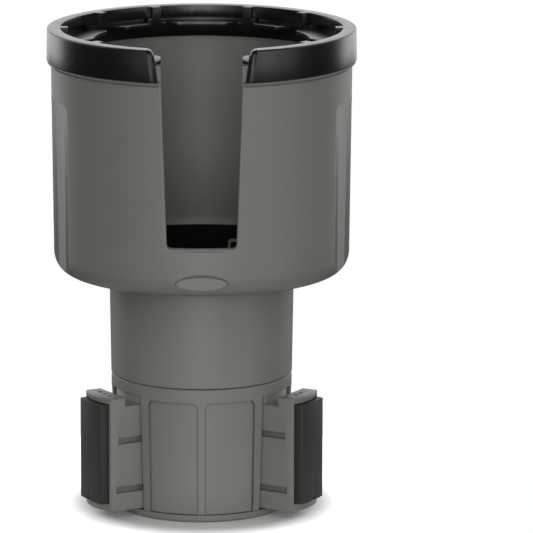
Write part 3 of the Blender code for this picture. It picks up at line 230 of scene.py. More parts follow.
def add_lofted(bm, sections):
    """Skin closed sections that hold the same number of points, and cap both ends."""
    rings = [[bm.verts.new(p) for p in section] for section in sections]
    for near, far in zip(rings, rings[1:]):
        for i, vert in enumerate(near):
            j = (i + 1) % len(near)
            bm.faces.new((vert, near[j], far[j], far[i]))
    bm.faces.new(rings[0])
    bm.faces.new(rings[-1])


def add_jaw_box(bm, bearing, lengths, widths, heights):
    """Box in a jaw's own frame: distances out along the jaw, distances across it, heights."""
    near, far = lengths
    left, right = sorted(widths)
    plan = [(near, left), (far, left), (far, right), (near, right)]
    add_prism(bm, place_plan(bearing, plan), *heights)


def sector_columns(bearings, inner, outer, low, high):
    """Sections of a cutter that follows a round wall; each size may vary with the bearing."""
    sections = []
    for b in bearings:
        sections.append([heading(b, inner(b, low(b)), low(b)), heading(b, outer, low(b)),
                         heading(b, outer, high(b)), heading(b, inner(b, high(b)), high(b))])
    return sections


# %% [markdown]
# ## Dressing a piece
# A real moulding has no perfectly sharp edge, and the thin light along its edges shows that it is
# solid. A bevel modifier gives that edge. The cup, the neck and the cap have their small rounds in
# their profiles, so they are only shaded smooth.
# Each fine piece rides on the moving body of the node that it stands for.

# %% Edges, body and slot
SOFT_EDGE = 0.3 * mm            # rim and mat
FINE_EDGE = 0.12 * mm           # housing, jaws and pads
SMOOTH_ANGLE = math.radians(38) # faces that meet at less than this look like one round face
fine_pieces = []


def dress(piece, node, body, edge):
    """Round the edges of a fine piece and let it stand for its node."""
    slot = piece["slot"]
    del piece["slot"]
    if edge:
        soften(piece, edge)
    piece.data.shade_smooth()
    piece.data.set_sharp_from_angle(angle=SMOOTH_ANGLE)
    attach(piece, body)
    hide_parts(node)
    fine_pieces.append((piece, slot))
    print(piece.name, len(piece.data.polygons), "faces")


# %% [markdown]
# ## Sizes of the base
# The base is a closed drum that drops into a vehicle's holder. It narrows a little towards its
# foot, as a moulding must to leave its mould, and a thin cap closes it below.

# %% Base
HOUSING_TOP_RADIUS = 34.5 * mm
HOUSING_DRAFT = 1.3 * mm        # the housing's foot is smaller than its top by this
HOUSING_FOOT_RADIUS = HOUSING_TOP_RADIUS - HOUSING_DRAFT
HOUSING_WALL = 2.2 * mm
WELL_WALL = 2.2 * mm            # round the well that the spiral plate drops into
WINDOW_HEIGHT = 44.65 * mm
GUIDE_WALL = 1.6 * mm           # between a jaw's channel and the hollow beside it
DECK_THICKNESS = 2.0 * mm
SEAM_EDGE = 0.35 * mm           # small chamfer on each side of the line between neck and base
CAP_THICKNESS = 2.85 * mm
CAP_STEP = 0.3 * mm             # the cap is smaller than the housing's foot by this
CAP_RADIUS = HOUSING_FOOT_RADIUS - CAP_STEP
CAP_EDGE = 1.0 * mm             # chamfer round the cap's underside
CAP_SCREW_INSET = 9.2 * mm      # in from the housing's foot
CAP_SCREW_CIRCLE = HOUSING_FOOT_RADIUS - CAP_SCREW_INSET
CAP_SCREW = dict(head=2.9 * mm, shank=1.2 * mm, length=12.0 * mm, head_height=1.5 * mm)
BOSS_RADIUS = 3.1 * mm
HOUSING_FOOT_Z = CAP_THICKNESS + GAP
WINDOW_TOP_Z = HOUSING_FOOT_Z + WINDOW_HEIGHT
DECK_TOP_Z = WINDOW_TOP_Z - GAP
print("base:", round(2 * HOUSING_TOP_RADIUS / mm, 1), "mm across")

# %% [markdown]
# ## Sizes of the jaws
# Three blocks slide out of the windows and carry rubber pads. Grooves in their sides run on ribs
# in the base. The upper grooves stand at different heights, so that each jaw fits one window only.
# The scene stands with its jaws out, as they are when they grip a holder.

# %% Jaws
JAW_WIDTH = 19.46 * mm
JAW_SIDE_GAP = 0.9 * mm         # running clearance beside a jaw
JAW_TRAVEL = 12.6 * mm
JAW_STANDOFF = 0.1 * mm         # a closed jaw stands proud of the housing by this
JAW_REACH = HOUSING_TOP_RADIUS + JAW_STANDOFF + JAW_TRAVEL     # furthest point from the axis, jaws out
JAW_END_CURVE = 24.0 * mm       # radius of the curved outer end
JAW_CLEAR_BELOW = 0.95 * mm     # jaw underside above the bottom cap
JAW_STEP = 3.3 * mm             # outer block above the running top
HALF_JAW = JAW_WIDTH / 2
CHANNEL = HALF_JAW + JAW_SIDE_GAP
JAW_FOOT_Z = CAP_THICKNESS + JAW_CLEAR_BELOW
JAW_TOP_Z = WINDOW_TOP_Z - GAP
JAW_RUN_Z = JAW_TOP_Z - JAW_STEP
GROOVE_HEIGHT = 2.6 * mm
GROOVE_DEPTH = 2.0 * mm
GROOVE_LOW_RISE = 6.8 * mm      # underside of the lower side groove above the jaw's underside
GROOVE_HIGH_DROP = 14.6 * mm    # underside of the upper side groove of jaw 3 below the running top
GROOVE_KEY_STEP = 2.1 * mm      # each jaw's upper groove sits higher, so no jaw fits another window
GROOVE_HIGH_STOP = 5.3 * mm     # solid left between a groove's end and the jaw's furthest point
GROOVE_LOW_STOP = 4.3 * mm
GROOVE_LOW_Z = JAW_FOOT_Z + GROOVE_LOW_RISE
GROOVE_HIGH_Z = JAW_RUN_Z - GROOVE_HIGH_DROP
print("jaws reach", round(JAW_REACH / mm, 1), "mm from the axis")

# %% [markdown]
# ## Sizes of the drive
# A plate with one spiral track turns with the neck and moves a pin in each jaw. It is closed in,
# but the well that it lies in, the hub below it and the pins' places shape what is seen.

# %% Drive
LEAD = JAW_TRAVEL               # one turn of the cup runs the jaws right in or out
SCROLL_RADIUS = HOUSING_TOP_RADIUS - WELL_WALL - GAP
SCROLL_THICKNESS = 4.1 * mm
SCROLL_RECESS = 0.1 * mm        # the plate's top lies below the housing's top by this
TRACK_RIM = 1.2 * mm            # plate left outside the track
PIN_RADIUS = 1.25 * mm
PIN_SEAT_DEPTH = 4.8 * mm
PIN_OUTER_CIRCLE = SCROLL_RADIUS - TRACK_RIM - GAP - PIN_RADIUS    # pin of jaw 3, jaws out
SCROLL_FOOT_Z = JAW_TOP_Z + GAP
SCROLL_TOP_Z = SCROLL_FOOT_Z + SCROLL_THICKNESS
HOUSING_TOP_Z = SCROLL_TOP_Z + SCROLL_RECESS
BOLT_RADIUS = 2.5 * mm
INSERT_WALL = 1.5 * mm
INSERT_RADIUS = BOLT_RADIUS + INSERT_WALL
INSERT_LENGTH = 12.0 * mm
HUB_WALL = 0.9 * mm
HUB_RADIUS = INSERT_RADIUS + GAP + HUB_WALL
HUB_CLEARANCE = 1.0 * mm        # between the hub and a closed jaw
THRUST_THICKNESS = 0.8 * mm
HUB_TOP_Z = SCROLL_FOOT_Z - 2 * GAP - THRUST_THICKNESS
print("top of the base:", round(HOUSING_TOP_Z / mm, 2), "mm up")

# %% [markdown]
# ## Bottom cap
# The cap is the floor of the base, with a post for the centre bolt and low rails under the jaws.
# It is one turned profile with the rails joined on, and screw seats cut from below.


# %% Bottom cap
RAIL_SHARE = 0.62               # a rail's outer side, as a share of a jaw's half width
RAIL_WIDTH = 1.6 * mm
RAIL_START = HUB_RADIUS + 2 * mm + GUIDE_WALL
RAIL_STOP = CAP_RADIUS - 3 * mm
BOLT_BORE = 8 * mm              # depth of the bolt's bore below the insert


def bottom_cap():
    """Floor of the base: a disc with a hub post, six jaw rails and three screw seats."""
    top = CAP_THICKNESS
    profile = [(0, 0), (CAP_RADIUS - CAP_EDGE, 0), (CAP_RADIUS, CAP_EDGE), (CAP_RADIUS, top)]
    profile += [(HUB_RADIUS, top), (HUB_RADIUS, HUB_TOP_Z), (0, HUB_TOP_Z)]
    cap = turned("bottom_cap", profile, "grey_plastic")
    bm = bmesh.new()
    rail = HALF_JAW * RAIL_SHARE
    for _, bearing, _ in JAWS:
        for side in (-1, 1):
            add_jaw_box(bm, bearing, (RAIL_START, RAIL_STOP), (side * rail, side * (rail - RAIL_WIDTH)),
                        (top / 2, JAW_FOOT_Z - GAP))
    join(cap, finish(bm, "cap_rails_tool"))
    bm = bmesh.new()
    insert_foot = HUB_TOP_Z - INSERT_LENGTH
    add_drum(bm, INSERT_RADIUS + GAP, insert_foot - GAP, HUB_TOP_Z + 1 * mm)
    add_drum(bm, BOLT_RADIUS + GAP, insert_foot - BOLT_BORE, insert_foot)
    cut(cap, finish(bm, "hub_bore_tool"))
    bm = bmesh.new()
    head, shank = CAP_SCREW["head"] + GAP, CAP_SCREW["shank"] + GAP
    seat = CAP_SCREW["head_height"] + 2 * GAP
    low, high = -1 * mm, top + 1 * mm
    for b in WALL_BEARINGS:
        p = heading(b, CAP_SCREW_CIRCLE)
        add_turned(bm, [(0, low), (head, low), (head, GAP), (shank, seat), (shank, high), (0, high)],
                   SMALL_STEPS, (p.x, p.y))
    cut(cap, finish(bm, "cap_screw_seats_tool"))
    return cap


dress(bottom_cap(), "bottom_cap", "base", 0)

# %% [markdown]
# ## Housing
# The housing is a drafted drum. Channels for the jaws cut right through it, and the three wall
# segments that are left carry two shallow panels each outside and guide ribs inside.
# A panel's cutter is skinned from upright columns that follow the round wall, because a flat
# cutter would leave it deeper in its middle than at its sides.


# %% Hollows and panels of the housing
PANEL_DEPTH = 1.0 * mm
PANEL_CORNER = 1.8 * mm
PANEL_TOP_MARGIN = 1.0 * mm     # below the top of the windows
PANEL_SIDE_MARGIN = 3.3 * mm    # wall left between a panel and the jaw's window
PANEL_INNER_BEARING = math.radians(2.1)
PANEL_OUTER_BEARING = HALF_SEGMENT - math.asin((CHANNEL + PANEL_SIDE_MARGIN) / HOUSING_TOP_RADIUS)
PANEL_COLUMNS = 14


def housing_radius(z):
    """Outside of the drafted housing wall at a height."""
    share = min(max((z - HOUSING_FOOT_Z) / WINDOW_HEIGHT, 0.0), 1.0)
    return HOUSING_FOOT_RADIUS + (HOUSING_TOP_RADIUS - HOUSING_FOOT_RADIUS) * share


def wedge_pocket(bearing, wall, low, high):
    """Core under a wall segment: the space between two jaw channels, less the guide walls."""
    def section(z):
        reach = housing_radius(z) - HOUSING_WALL
        offset = CHANNEL + wall
        swing = HALF_SEGMENT - math.asin(offset / reach)
        apex = heading(bearing, offset / math.sin(HALF_SEGMENT), z)
        return [apex] + [heading(bearing + s, reach, z) for s in spread(-swing, swing, 10)]
    return [section(low), section(high)]


def wall_panels():
    """Cutters for two shallow panels with rounded top corners on each wall segment."""
    bm = bmesh.new()
    for b in WALL_BEARINGS:
        for side in (-1, 1):
            bearings = spread(side * PANEL_INNER_BEARING, side * PANEL_OUTER_BEARING, PANEL_COLUMNS)
            ends = (min(bearings), max(bearings))

            def top_edge(bearing, ends=ends):
                run = min(abs(bearing - ends[0]), abs(bearing - ends[1])) * HOUSING_TOP_RADIUS
                return rounded_height(run, PANEL_CORNER, WINDOW_TOP_Z - PANEL_TOP_MARGIN)

            columns = sector_columns(bearings, lambda _, z: housing_radius(z) - PANEL_DEPTH,
                                     HOUSING_TOP_RADIUS + 3 * mm, lambda _: -1 * mm, top_edge)
            add_lofted(bm, [[turn_about_axis(p, b) for p in section] for section in columns])
    return finish(bm, "wall_panels_tool")


# %% Housing
RIB_LENGTH = 10.0 * mm


def upper_groove(number):
    """Underside of the upper side groove of a jaw."""
    return GROOVE_HIGH_Z + (3 - number) * GROOVE_KEY_STEP


def base_housing():
    """Drafted drum with three jaw windows, three cored wall segments and guide ribs."""
    top = HOUSING_TOP_RADIUS
    profile = [(0, HOUSING_FOOT_Z), (HOUSING_FOOT_RADIUS, HOUSING_FOOT_Z), (top, WINDOW_TOP_Z)]
    profile += [(top, HOUSING_TOP_Z - SEAM_EDGE), (top - SEAM_EDGE, HOUSING_TOP_Z), (0, HOUSING_TOP_Z)]
    housing = turned("base_housing", profile, "grey_plastic")
    bm = bmesh.new()
    add_drum(bm, SCROLL_RADIUS + GAP, DECK_TOP_Z, HOUSING_TOP_Z + OVERRUN, steps=ROUND_STEPS)
    cut(housing, finish(bm, "scroll_well_tool"))
    for side, bearing, _ in JAWS:
        bm = bmesh.new()
        add_jaw_box(bm, bearing, (0, JAW_REACH), (-CHANNEL, CHANNEL), (-OVERRUN, WINDOW_TOP_Z))
        cut(housing, finish(bm, "jaw_channel_tool_" + side))
    bm = bmesh.new()
    for b in WALL_BEARINGS:
        add_lofted(bm, wedge_pocket(b, GUIDE_WALL, -OVERRUN, DECK_TOP_Z - DECK_THICKNESS))
    cut(housing, finish(bm, "segment_cores_tool"))
    cut(housing, wall_panels())
    places = [heading(b, CAP_SCREW_CIRCLE) for b in WALL_BEARINGS]
    boss_top = DECK_TOP_Z - DECK_THICKNESS / 2
    join(housing, drums("screw_bosses_tool", BOSS_RADIUS, HOUSING_FOOT_Z, boss_top, places))
    depth = CAP_SCREW["length"] + 2 * GAP
    cut(housing, drums("cap_pilot_tool", CAP_SCREW["shank"] + GAP, -OVERRUN, depth, places))
    bm = bmesh.new()
    far = JAW_REACH - GROOVE_HIGH_STOP - JAW_TRAVEL - GAP
    for _, bearing, number in JAWS:
        for floor in (GROOVE_LOW_Z, upper_groove(number)):
            for side in (-1, 1):
                add_jaw_box(bm, bearing, (far - RIB_LENGTH, far),
                            (side * (CHANNEL - GROOVE_DEPTH), side * (CHANNEL + GUIDE_WALL / 2)),
                            (floor + GAP, floor + GROOVE_HEIGHT - GAP))
    join(housing, finish(bm, "guide_ribs_tool"))
    return housing


dress(base_housing(), "base_housing", "base", FINE_EDGE)

# %% [markdown]
# ## Rubber pads
# Each pad is a separate rubber moulding. It sits in a shallow recess in the jaw's curved end, and
# two studs hold it there. The recess and the pad are made from the same sizes, one grown by the
# gap, so that the dark line between them has the same width all round.


# %% Pads and their seats
PAD_MARGIN_SIDE = 1.5 * mm
PAD_SIDE_GAP = 0.5 * mm
PAD_MARGIN_TOP = 2.2 * mm
PAD_MARGIN_FOOT = 3.1 * mm
PAD_SEAT_DEPTH = 1.0 * mm
PAD_PROUD = 2.1 * mm
PAD_CURVE = 60.0 * mm           # the gripping face is flatter than the jaw's end
PAD_CHAMFER = 0.6 * mm
PAD_STUD_RADIUS = 1.8 * mm
PAD_STUD_LENGTH = 2.4 * mm
PAD_KEY_WIDTH = 1.8 * mm
PAD_KEY_HEIGHT = 1.2 * mm
STUD_STEPS = 14                 # facets round studs and numbering holes


def curved_end(reach, half, radius):
    """Plan of a curved end: an arc of a radius that reaches a distance out, between two half-widths."""
    swing = math.asin(half / radius)
    return [(reach - radius + radius * math.cos(t), radius * math.sin(t))
            for t in spread(-swing, swing, CURVE_STEPS)]


def pad_heights(margin=0.0):
    """Foot and top of a pad, or of its seat when grown by a margin."""
    return JAW_FOOT_Z + PAD_MARGIN_FOOT - margin, JAW_TOP_Z - PAD_MARGIN_TOP + margin


def stud_heights():
    """Heights of a pad's two studs."""
    low, high = pad_heights()
    quarter = (high - low) / 4
    return [low + quarter, high - quarter]


def add_stud(bm, bearing, radius, near, far, z):
    """Round stud along the jaw's direction."""
    out, across = heading(bearing), heading(bearing + math.pi / 2)
    up = Vector((0, 0, 1))
    rings = []
    for reach in (near, far):
        centre = out * reach + up * z
        rings.append([centre + across * radius * math.cos(t) + up * radius * math.sin(t)
                      for t in spread(0, math.tau, STUD_STEPS)[:-1]])
    add_lofted(bm, rings)


def pad_seat(side, bearing):
    """Recess in the jaw's curved end, with two stud holes and a locating nub left at its foot."""
    low, high = pad_heights(GAP)
    half = HALF_JAW - PAD_MARGIN_SIDE + PAD_SIDE_GAP
    floor = JAW_REACH - PAD_SEAT_DEPTH
    outside = JAW_REACH + OVERRUN
    bm = bmesh.new()
    plan = curved_end(floor, half, JAW_END_CURVE) + [(outside, half), (outside, -half)]
    add_prism(bm, place_plan(bearing, plan), low, high)
    seat = finish(bm, "pad_seat_tool_" + side)
    bm = bmesh.new()
    key = PAD_KEY_WIDTH / 2 - GAP
    add_jaw_box(bm, bearing, (0, JAW_REACH + 9 * mm), (-key, key), (low - OVERRUN, low + PAD_KEY_HEIGHT))
    cut(seat, finish(bm, "pad_nub_tool_" + side))
    bm = bmesh.new()
    for z in stud_heights():
        add_stud(bm, bearing, PAD_STUD_RADIUS + GAP, floor - PAD_STUD_LENGTH - GAP, floor + 2 * mm, z)
    join(seat, finish(bm, "stud_holes_tool_" + side))
    return seat


def pad(side, bearing):
    """Rubber grip on a jaw's end, seated in its recess and held by two studs."""
    low, high = pad_heights()
    half = HALF_JAW - PAD_MARGIN_SIDE
    back = JAW_REACH - PAD_SEAT_DEPTH + GAP
    front = JAW_REACH + PAD_PROUD
    rear = curved_end(back, half, JAW_END_CURVE)
    face = curved_end(front, half - PAD_CHAMFER, PAD_CURVE)
    shoulder = front - PAD_CHAMFER - (PAD_CURVE - math.sqrt(PAD_CURVE ** 2 - half ** 2))
    plan = rear + [(shoulder, half)] + face[::-1] + [(shoulder, -half)]
    bm = bmesh.new()
    add_prism(bm, place_plan(bearing, plan), low, high)
    made = finish(bm, "pad_" + side, "pad_rubber")
    bm = bmesh.new()
    key = PAD_KEY_WIDTH / 2
    add_jaw_box(bm, bearing, (back - 2 * mm, front + 2 * mm), (-key, key),
                (low - 2 * mm, low + PAD_KEY_HEIGHT))
    cut(made, finish(bm, "pad_notch_tool_" + side))
    bm = bmesh.new()
    for z in stud_heights():
        add_stud(bm, bearing, PAD_STUD_RADIUS, back - PAD_STUD_LENGTH, back + OVERLAP, z)
    join(made, finish(bm, "pad_studs_tool_" + side))
    return made


# %% [markdown]
# ## Jaws
# A jaw is a block with a curved outer end, a stepped top, side grooves and a row of small holes
# that number it. A curved rib on the step closes the window when the jaw is out. The numbering
# could be painted on, but real holes catch the light in every view.


# %% Jaws
JAW_BLOCK_LENGTH = 8.2 * mm
SHIELD_INSET = 0.9 * mm         # the curved rib that closes the window stands inside the housing's face
SHIELD_THICKNESS = 1.8 * mm
SHIELD_MARGIN = 1.1 * mm        # short of the jaw's side
SHIELD_RADIUS = HOUSING_TOP_RADIUS - SHIELD_INSET
DOT_RADIUS = 1.0 * mm
DOT_DEPTH = 1.6 * mm
DOT_PITCH = 3.75 * mm
DOT_INSET = 5.0 * mm            # in from the jaw's furthest point
CORE_WALL = 3.3 * mm            # side walls left round the moulding cores
CORE_END_WALL = 6.2 * mm
CORE_ROOF = 2.4 * mm            # left under the pin's seat
CORE_WEB = 2.2 * mm
MEETING = (HALF_JAW + GAP) / math.tan(HALF_SEGMENT) + GAP    # where three closed jaws would touch
JAW_INNER_END = JAW_TRAVEL + max(HUB_RADIUS + HUB_CLEARANCE, MEETING)


def pin_circle(number):
    """How far a jaw's pin stands from the axis: a third of the lead apart from jaw to jaw."""
    return PIN_OUTER_CIRCLE - (3 - number) * LEAD / 3


def jaw_hollows(side, bearing, number):
    """Cutter for a jaw's side grooves and the two moulding cores in its inner end."""
    bm = bmesh.new()
    start = JAW_INNER_END - OVERRUN
    for floor, stop in ((GROOVE_LOW_Z, GROOVE_LOW_STOP), (upper_groove(number), GROOVE_HIGH_STOP)):
        for hand in (-1, 1):
            add_jaw_box(bm, bearing, (start, JAW_REACH - stop),
                        (hand * (HALF_JAW - GROOVE_DEPTH), hand * (HALF_JAW + 3 * mm)),
                        (floor, floor + GROOVE_HEIGHT))
    half = HALF_JAW - CORE_WALL
    core_low, core_high = JAW_FOOT_Z + CORE_WEB, JAW_RUN_Z - PIN_SEAT_DEPTH - CORE_ROOF
    middle = (core_low + core_high) / 2
    for heights in ((core_low, middle - CORE_WEB / 2), (middle + CORE_WEB / 2, core_high)):
        add_jaw_box(bm, bearing, (start, JAW_REACH - CORE_END_WALL), (-half, half), heights)
    return finish(bm, "jaw_hollows_tool_" + side)


def jaw(side, bearing, number):
    """Sliding jaw: stepped top, curved rib at the window, side grooves, pad seat, dots, pin hole, cores."""
    bm = bmesh.new()
    plan = [(JAW_INNER_END, HALF_JAW), (JAW_INNER_END, -HALF_JAW)]
    plan += curved_end(JAW_REACH, HALF_JAW, JAW_END_CURVE)
    add_prism(bm, place_plan(bearing, plan), JAW_FOOT_Z, JAW_TOP_Z)
    made = finish(bm, "jaw_" + side, "grey_plastic")

    bm = bmesh.new()
    beside = HALF_JAW + OVERRUN
    add_jaw_box(bm, bearing, (JAW_INNER_END - OVERRUN, JAW_REACH - JAW_BLOCK_LENGTH), (-beside, beside),
                (JAW_RUN_Z, JAW_TOP_Z + OVERRUN))
    cut(made, finish(bm, "jaw_step_tool_" + side))

    bm = bmesh.new()
    face = curved_end(SHIELD_RADIUS, HALF_JAW - SHIELD_MARGIN, SHIELD_RADIUS)
    back = [(d * (1 - SHIELD_THICKNESS / SHIELD_RADIUS), s) for d, s in reversed(face)]
    add_prism(bm, place_plan(bearing, face + back), JAW_RUN_Z - OVERLAP, JAW_TOP_Z)
    join(made, finish(bm, "jaw_shield_tool_" + side))

    cut(made, jaw_hollows(side, bearing, number))
    cut(made, pad_seat(side, bearing))

    bm = bmesh.new()
    out, across = heading(bearing), heading(bearing + math.pi / 2)
    dot_line = out * (JAW_REACH - DOT_INSET)
    for i in range(number):
        p = dot_line + across * DOT_PITCH * (i - (number - 1) / 2)
        add_drum(bm, DOT_RADIUS, JAW_TOP_Z - DOT_DEPTH, JAW_TOP_Z + 2 * mm, (p.x, p.y), STUD_STEPS)
    pin = out * pin_circle(number)
    add_drum(bm, PIN_RADIUS + GAP, JAW_RUN_Z - PIN_SEAT_DEPTH - GAP, JAW_TOP_Z + 2 * mm, (pin.x, pin.y))
    cut(made, finish(bm, "jaw_holes_tool_" + side))
    return made


for side, bearing, number in JAWS:
    dress(jaw(side, bearing, number), "jaw_" + side, side + "_jaw", FINE_EDGE)
    dress(pad(side, bearing), "pad_" + side, side + "_jaw", FINE_EDGE)

# %% [markdown]
# ## Neck
# The neck turns with the cup. It is a tube that widens slightly upwards, with a web near its foot
# and four posts inside for the cup's screws. Only its outside shows, but the copy keeps the rest,
# because it stands for the whole node.


# %% Neck
NECK_STEP = 0.1 * mm            # the neck's foot is larger than the housing's top by this
NECK_DRAFT = 0.6 * mm           # the neck's top is larger than its foot by this
NECK_FOOT_RADIUS = HOUSING_TOP_RADIUS + NECK_STEP
NECK_TOP_RADIUS = NECK_FOOT_RADIUS + NECK_DRAFT
NECK_HEIGHT = 38.7 * mm
NECK_WALL = 2.6 * mm
NECK_WEB = 3.0 * mm
NECK_BOSS_INSET = 10.6 * mm     # in from the neck's foot
NECK_BOSS_CIRCLE = NECK_FOOT_RADIUS - NECK_BOSS_INSET
NECK_BOSS_RADIUS = 4.2 * mm
DRIVE_BOSS_INSET = 7.0 * mm     # in from the circle of the neck's own bosses
DRIVE_BOSS_CIRCLE = NECK_BOSS_CIRCLE - DRIVE_BOSS_INSET
DRIVE_BOSS_RADIUS = 2.6 * mm
CUP_SCREW = dict(head=3.0 * mm, shank=1.4 * mm, length=12.0 * mm, head_height=1.9 * mm)
NECK_FOOT_Z = HOUSING_TOP_Z + SEAM
WEB_TOP_Z = NECK_FOOT_Z + NECK_WEB
NECK_TOP_Z = NECK_FOOT_Z + NECK_HEIGHT


def neck():
    """Turning collar under the cup: a drafted tube with a web that carries the spiral plate."""
    foot, top = NECK_FOOT_Z, NECK_TOP_Z
    profile = [(0, foot), (NECK_FOOT_RADIUS - SEAM_EDGE, foot), (NECK_FOOT_RADIUS, foot + SEAM_EDGE)]
    profile += [(NECK_TOP_RADIUS, top), (NECK_TOP_RADIUS - NECK_WALL, top)]
    profile += [(NECK_FOOT_RADIUS - NECK_WALL, WEB_TOP_Z), (0, WEB_TOP_Z)]
    collar = turned("neck_collar", profile, "grey_plastic")
    places = [heading(b, NECK_BOSS_CIRCLE) for b in SCREW_BEARINGS]
    join(collar, drums("neck_bosses_tool", NECK_BOSS_RADIUS, WEB_TOP_Z - OVERLAP, top, places))
    depth = CUP_SCREW["length"] + 2 * GAP
    cut(collar, drums("neck_pilots_tool", CUP_SCREW["shank"] + GAP, top - depth, top + 2 * mm, places))
    low, high = foot - 2 * mm, WEB_TOP_Z + 2 * mm
    drives = [heading(b, DRIVE_BOSS_CIRCLE) for b in WALL_BEARINGS]
    cut(collar, drums("drive_holes_tool", DRIVE_BOSS_RADIUS + GAP, low, high, drives))
    cut(collar, drums("neck_bolt_hole_tool", BOLT_RADIUS + GAP, low, high, [Vector((0, 0))]))
    return collar


dress(neck(), "neck_collar", "cup", 0)

# %% [markdown]
# ## Sizes of the cup
# The cup's wall leans out a little towards its top, and its foot has a large round. A shoulder
# near the top carries the soft rim, and a thin spigot above it is hidden inside the rim.


# %% Cup wall
CUP_TOP_RADIUS = 57.1 * mm      # outside, under the shoulder
CUP_DRAFT = 0.8 * mm            # the wall's foot is smaller than its top by this
CUP_FOOT_RADIUS = CUP_TOP_RADIUS - CUP_DRAFT
CUP_FILLET = 8.0 * mm
CUP_WALL = 3.2 * mm
CUP_FLOOR = 4.4 * mm
CUP_FLOOR_FILLET = 6.3 * mm     # inside, round the floor
CUP_WALL_HEIGHT = 79.8 * mm     # underside to shoulder
CUP_WALL_ROWS = 12              # rows of facets up the wall
SHOULDER_STEP = 1.3 * mm        # the shoulder stands outside the wall by this
SHOULDER_RADIUS = CUP_TOP_RADIUS + SHOULDER_STEP
SHOULDER_HEIGHT = 0.9 * mm
SHOULDER_COVE = 0.8 * mm
SHOULDER_EDGE = 0.3 * mm
SPIGOT_HEIGHT = 5.7 * mm        # thin wall above the shoulder, inside the rim
SPIGOT_INSET = 1.1 * mm
SPIGOT_RADIUS = CUP_TOP_RADIUS - SPIGOT_INSET
SPIGOT_EDGE = 0.4 * mm
CUP_FOOT_Z = NECK_TOP_Z + GAP
FLOOR_Z = CUP_FOOT_Z + CUP_FLOOR
SHOULDER_Z = CUP_FOOT_Z + CUP_WALL_HEIGHT + SHOULDER_COVE + SHOULDER_HEIGHT
SPIGOT_Z = SHOULDER_Z + SPIGOT_HEIGHT


def cup_radius(z):
    """Outside of the cup's drafted wall at a height."""
    foot = CUP_FOOT_Z + CUP_FILLET
    share = min(max((z - foot) / (CUP_WALL_HEIGHT - CUP_FILLET), 0.0), 1.0)
    return CUP_FOOT_RADIUS + (CUP_TOP_RADIUS - CUP_FOOT_RADIUS) * share


print("cup wall:", round(2 * CUP_TOP_RADIUS / mm, 1), "mm across, top at", round(SPIGOT_Z / mm, 1), "mm")

# %% [markdown]
# ## Slot
# A mug's handle passes through the slot in the front. Its edges are well rounded, which shows as a
# soft bright border. A bevel modifier would also round every other edge of the cup, so the cutter
# itself opens out in a quarter round that follows the wall's outside.


# %% Slot
SLOT_FOOT_WIDTH = 25.8 * mm
SLOT_SPREAD = 4.6 * mm          # the slot is wider at its top by this
SLOT_TOP_WIDTH = SLOT_FOOT_WIDTH + SLOT_SPREAD
SLOT_SILL = 19.1 * mm           # above the cup's underside
SLOT_CORNER = 1.6 * mm
SLOT_EDGE_ROUND = 0.9 * mm


def slot_outline(foot_width, top_width, foot, top, corner, flare, ceiling, grow):
    """Half-widths and heights of a slot, grown by a margin: rounded below, flared at its top edge."""
    slope = (top_width - foot_width) / 2 / (top - foot)

    def half(z):
        return foot_width / 2 + slope * (z - foot)

    low, turn = foot - grow, corner + grow
    if corner:
        points = [(half(low + turn) - corner + x, low + turn + z) for x, z in arc((0, 0), turn, -90, 0)]
    else:
        points = [(half(foot) + grow, low)]
    if flare:
        start = top - flare
        centre = half(start) + flare
        points += [(centre + x, start + z) for x, z in arc((0, 0), flare - grow, 180, 90)]
        points.append((centre, ceiling))
    else:
        points.append((half(ceiling) + grow, ceiling))
    return points


def slot_cutter(name, outline, surface, back, edge_round):
    """Cutter through a round front wall, opened out by a rounded edge that follows the wall's outside."""
    def section(grow, y_at):
        right = outline(grow)
        loop = right + [(-x, z) for x, z in reversed(right)]
        return [Vector((x, y_at(x, z), z)) for x, z in loop]

    sections = [section(0.0, lambda x, z: -back)]
    for t in spread(0, math.pi / 2, EDGE_STEPS):
        depth = edge_round * (1 - math.sin(t))
        sections.append(section(edge_round * (1 - math.cos(t)),
                                lambda x, z, depth=depth: -math.sqrt((surface(z) - depth) ** 2 - x ** 2)))
    front = max(surface(z) for _, z in outline(0.0)) + OVERRUN
    sections.append(section(edge_round, lambda x, z: -front))
    bm = bmesh.new()
    add_lofted(bm, sections)
    return finish(bm, name)


# %% [markdown]
# ## Side grips and thumb scoop
# Fingers hold the cup at two wide shallow hollows on each side, which meet at an upright ridge, and
# the thumb rests in a small oval scoop under the slot. The hollows are parts of very large upright
# cylinders. The scoop is a flat-floored oval with a sloping edge, whose upper side is in shade.


# %% Grips
GRIP_NEAR_BEARING = math.radians(62.0)
GRIP_RIDGE_BEARING = math.radians(90.0)
GRIP_RIDGE_WIDTH = math.radians(0.25)   # each hollow stops this far from the ridge
GRIP_CURVE = 200.0 * mm         # radius of each hollow, seen from above
GRIP_TOP_MARGIN = 11.9 * mm     # below the shoulder
GRIP_CORNER = 2.7 * mm
GRIP_COLUMNS = 16
GRIP_PAST = 2 * mm              # a hollow's cutter runs past both its sides by this


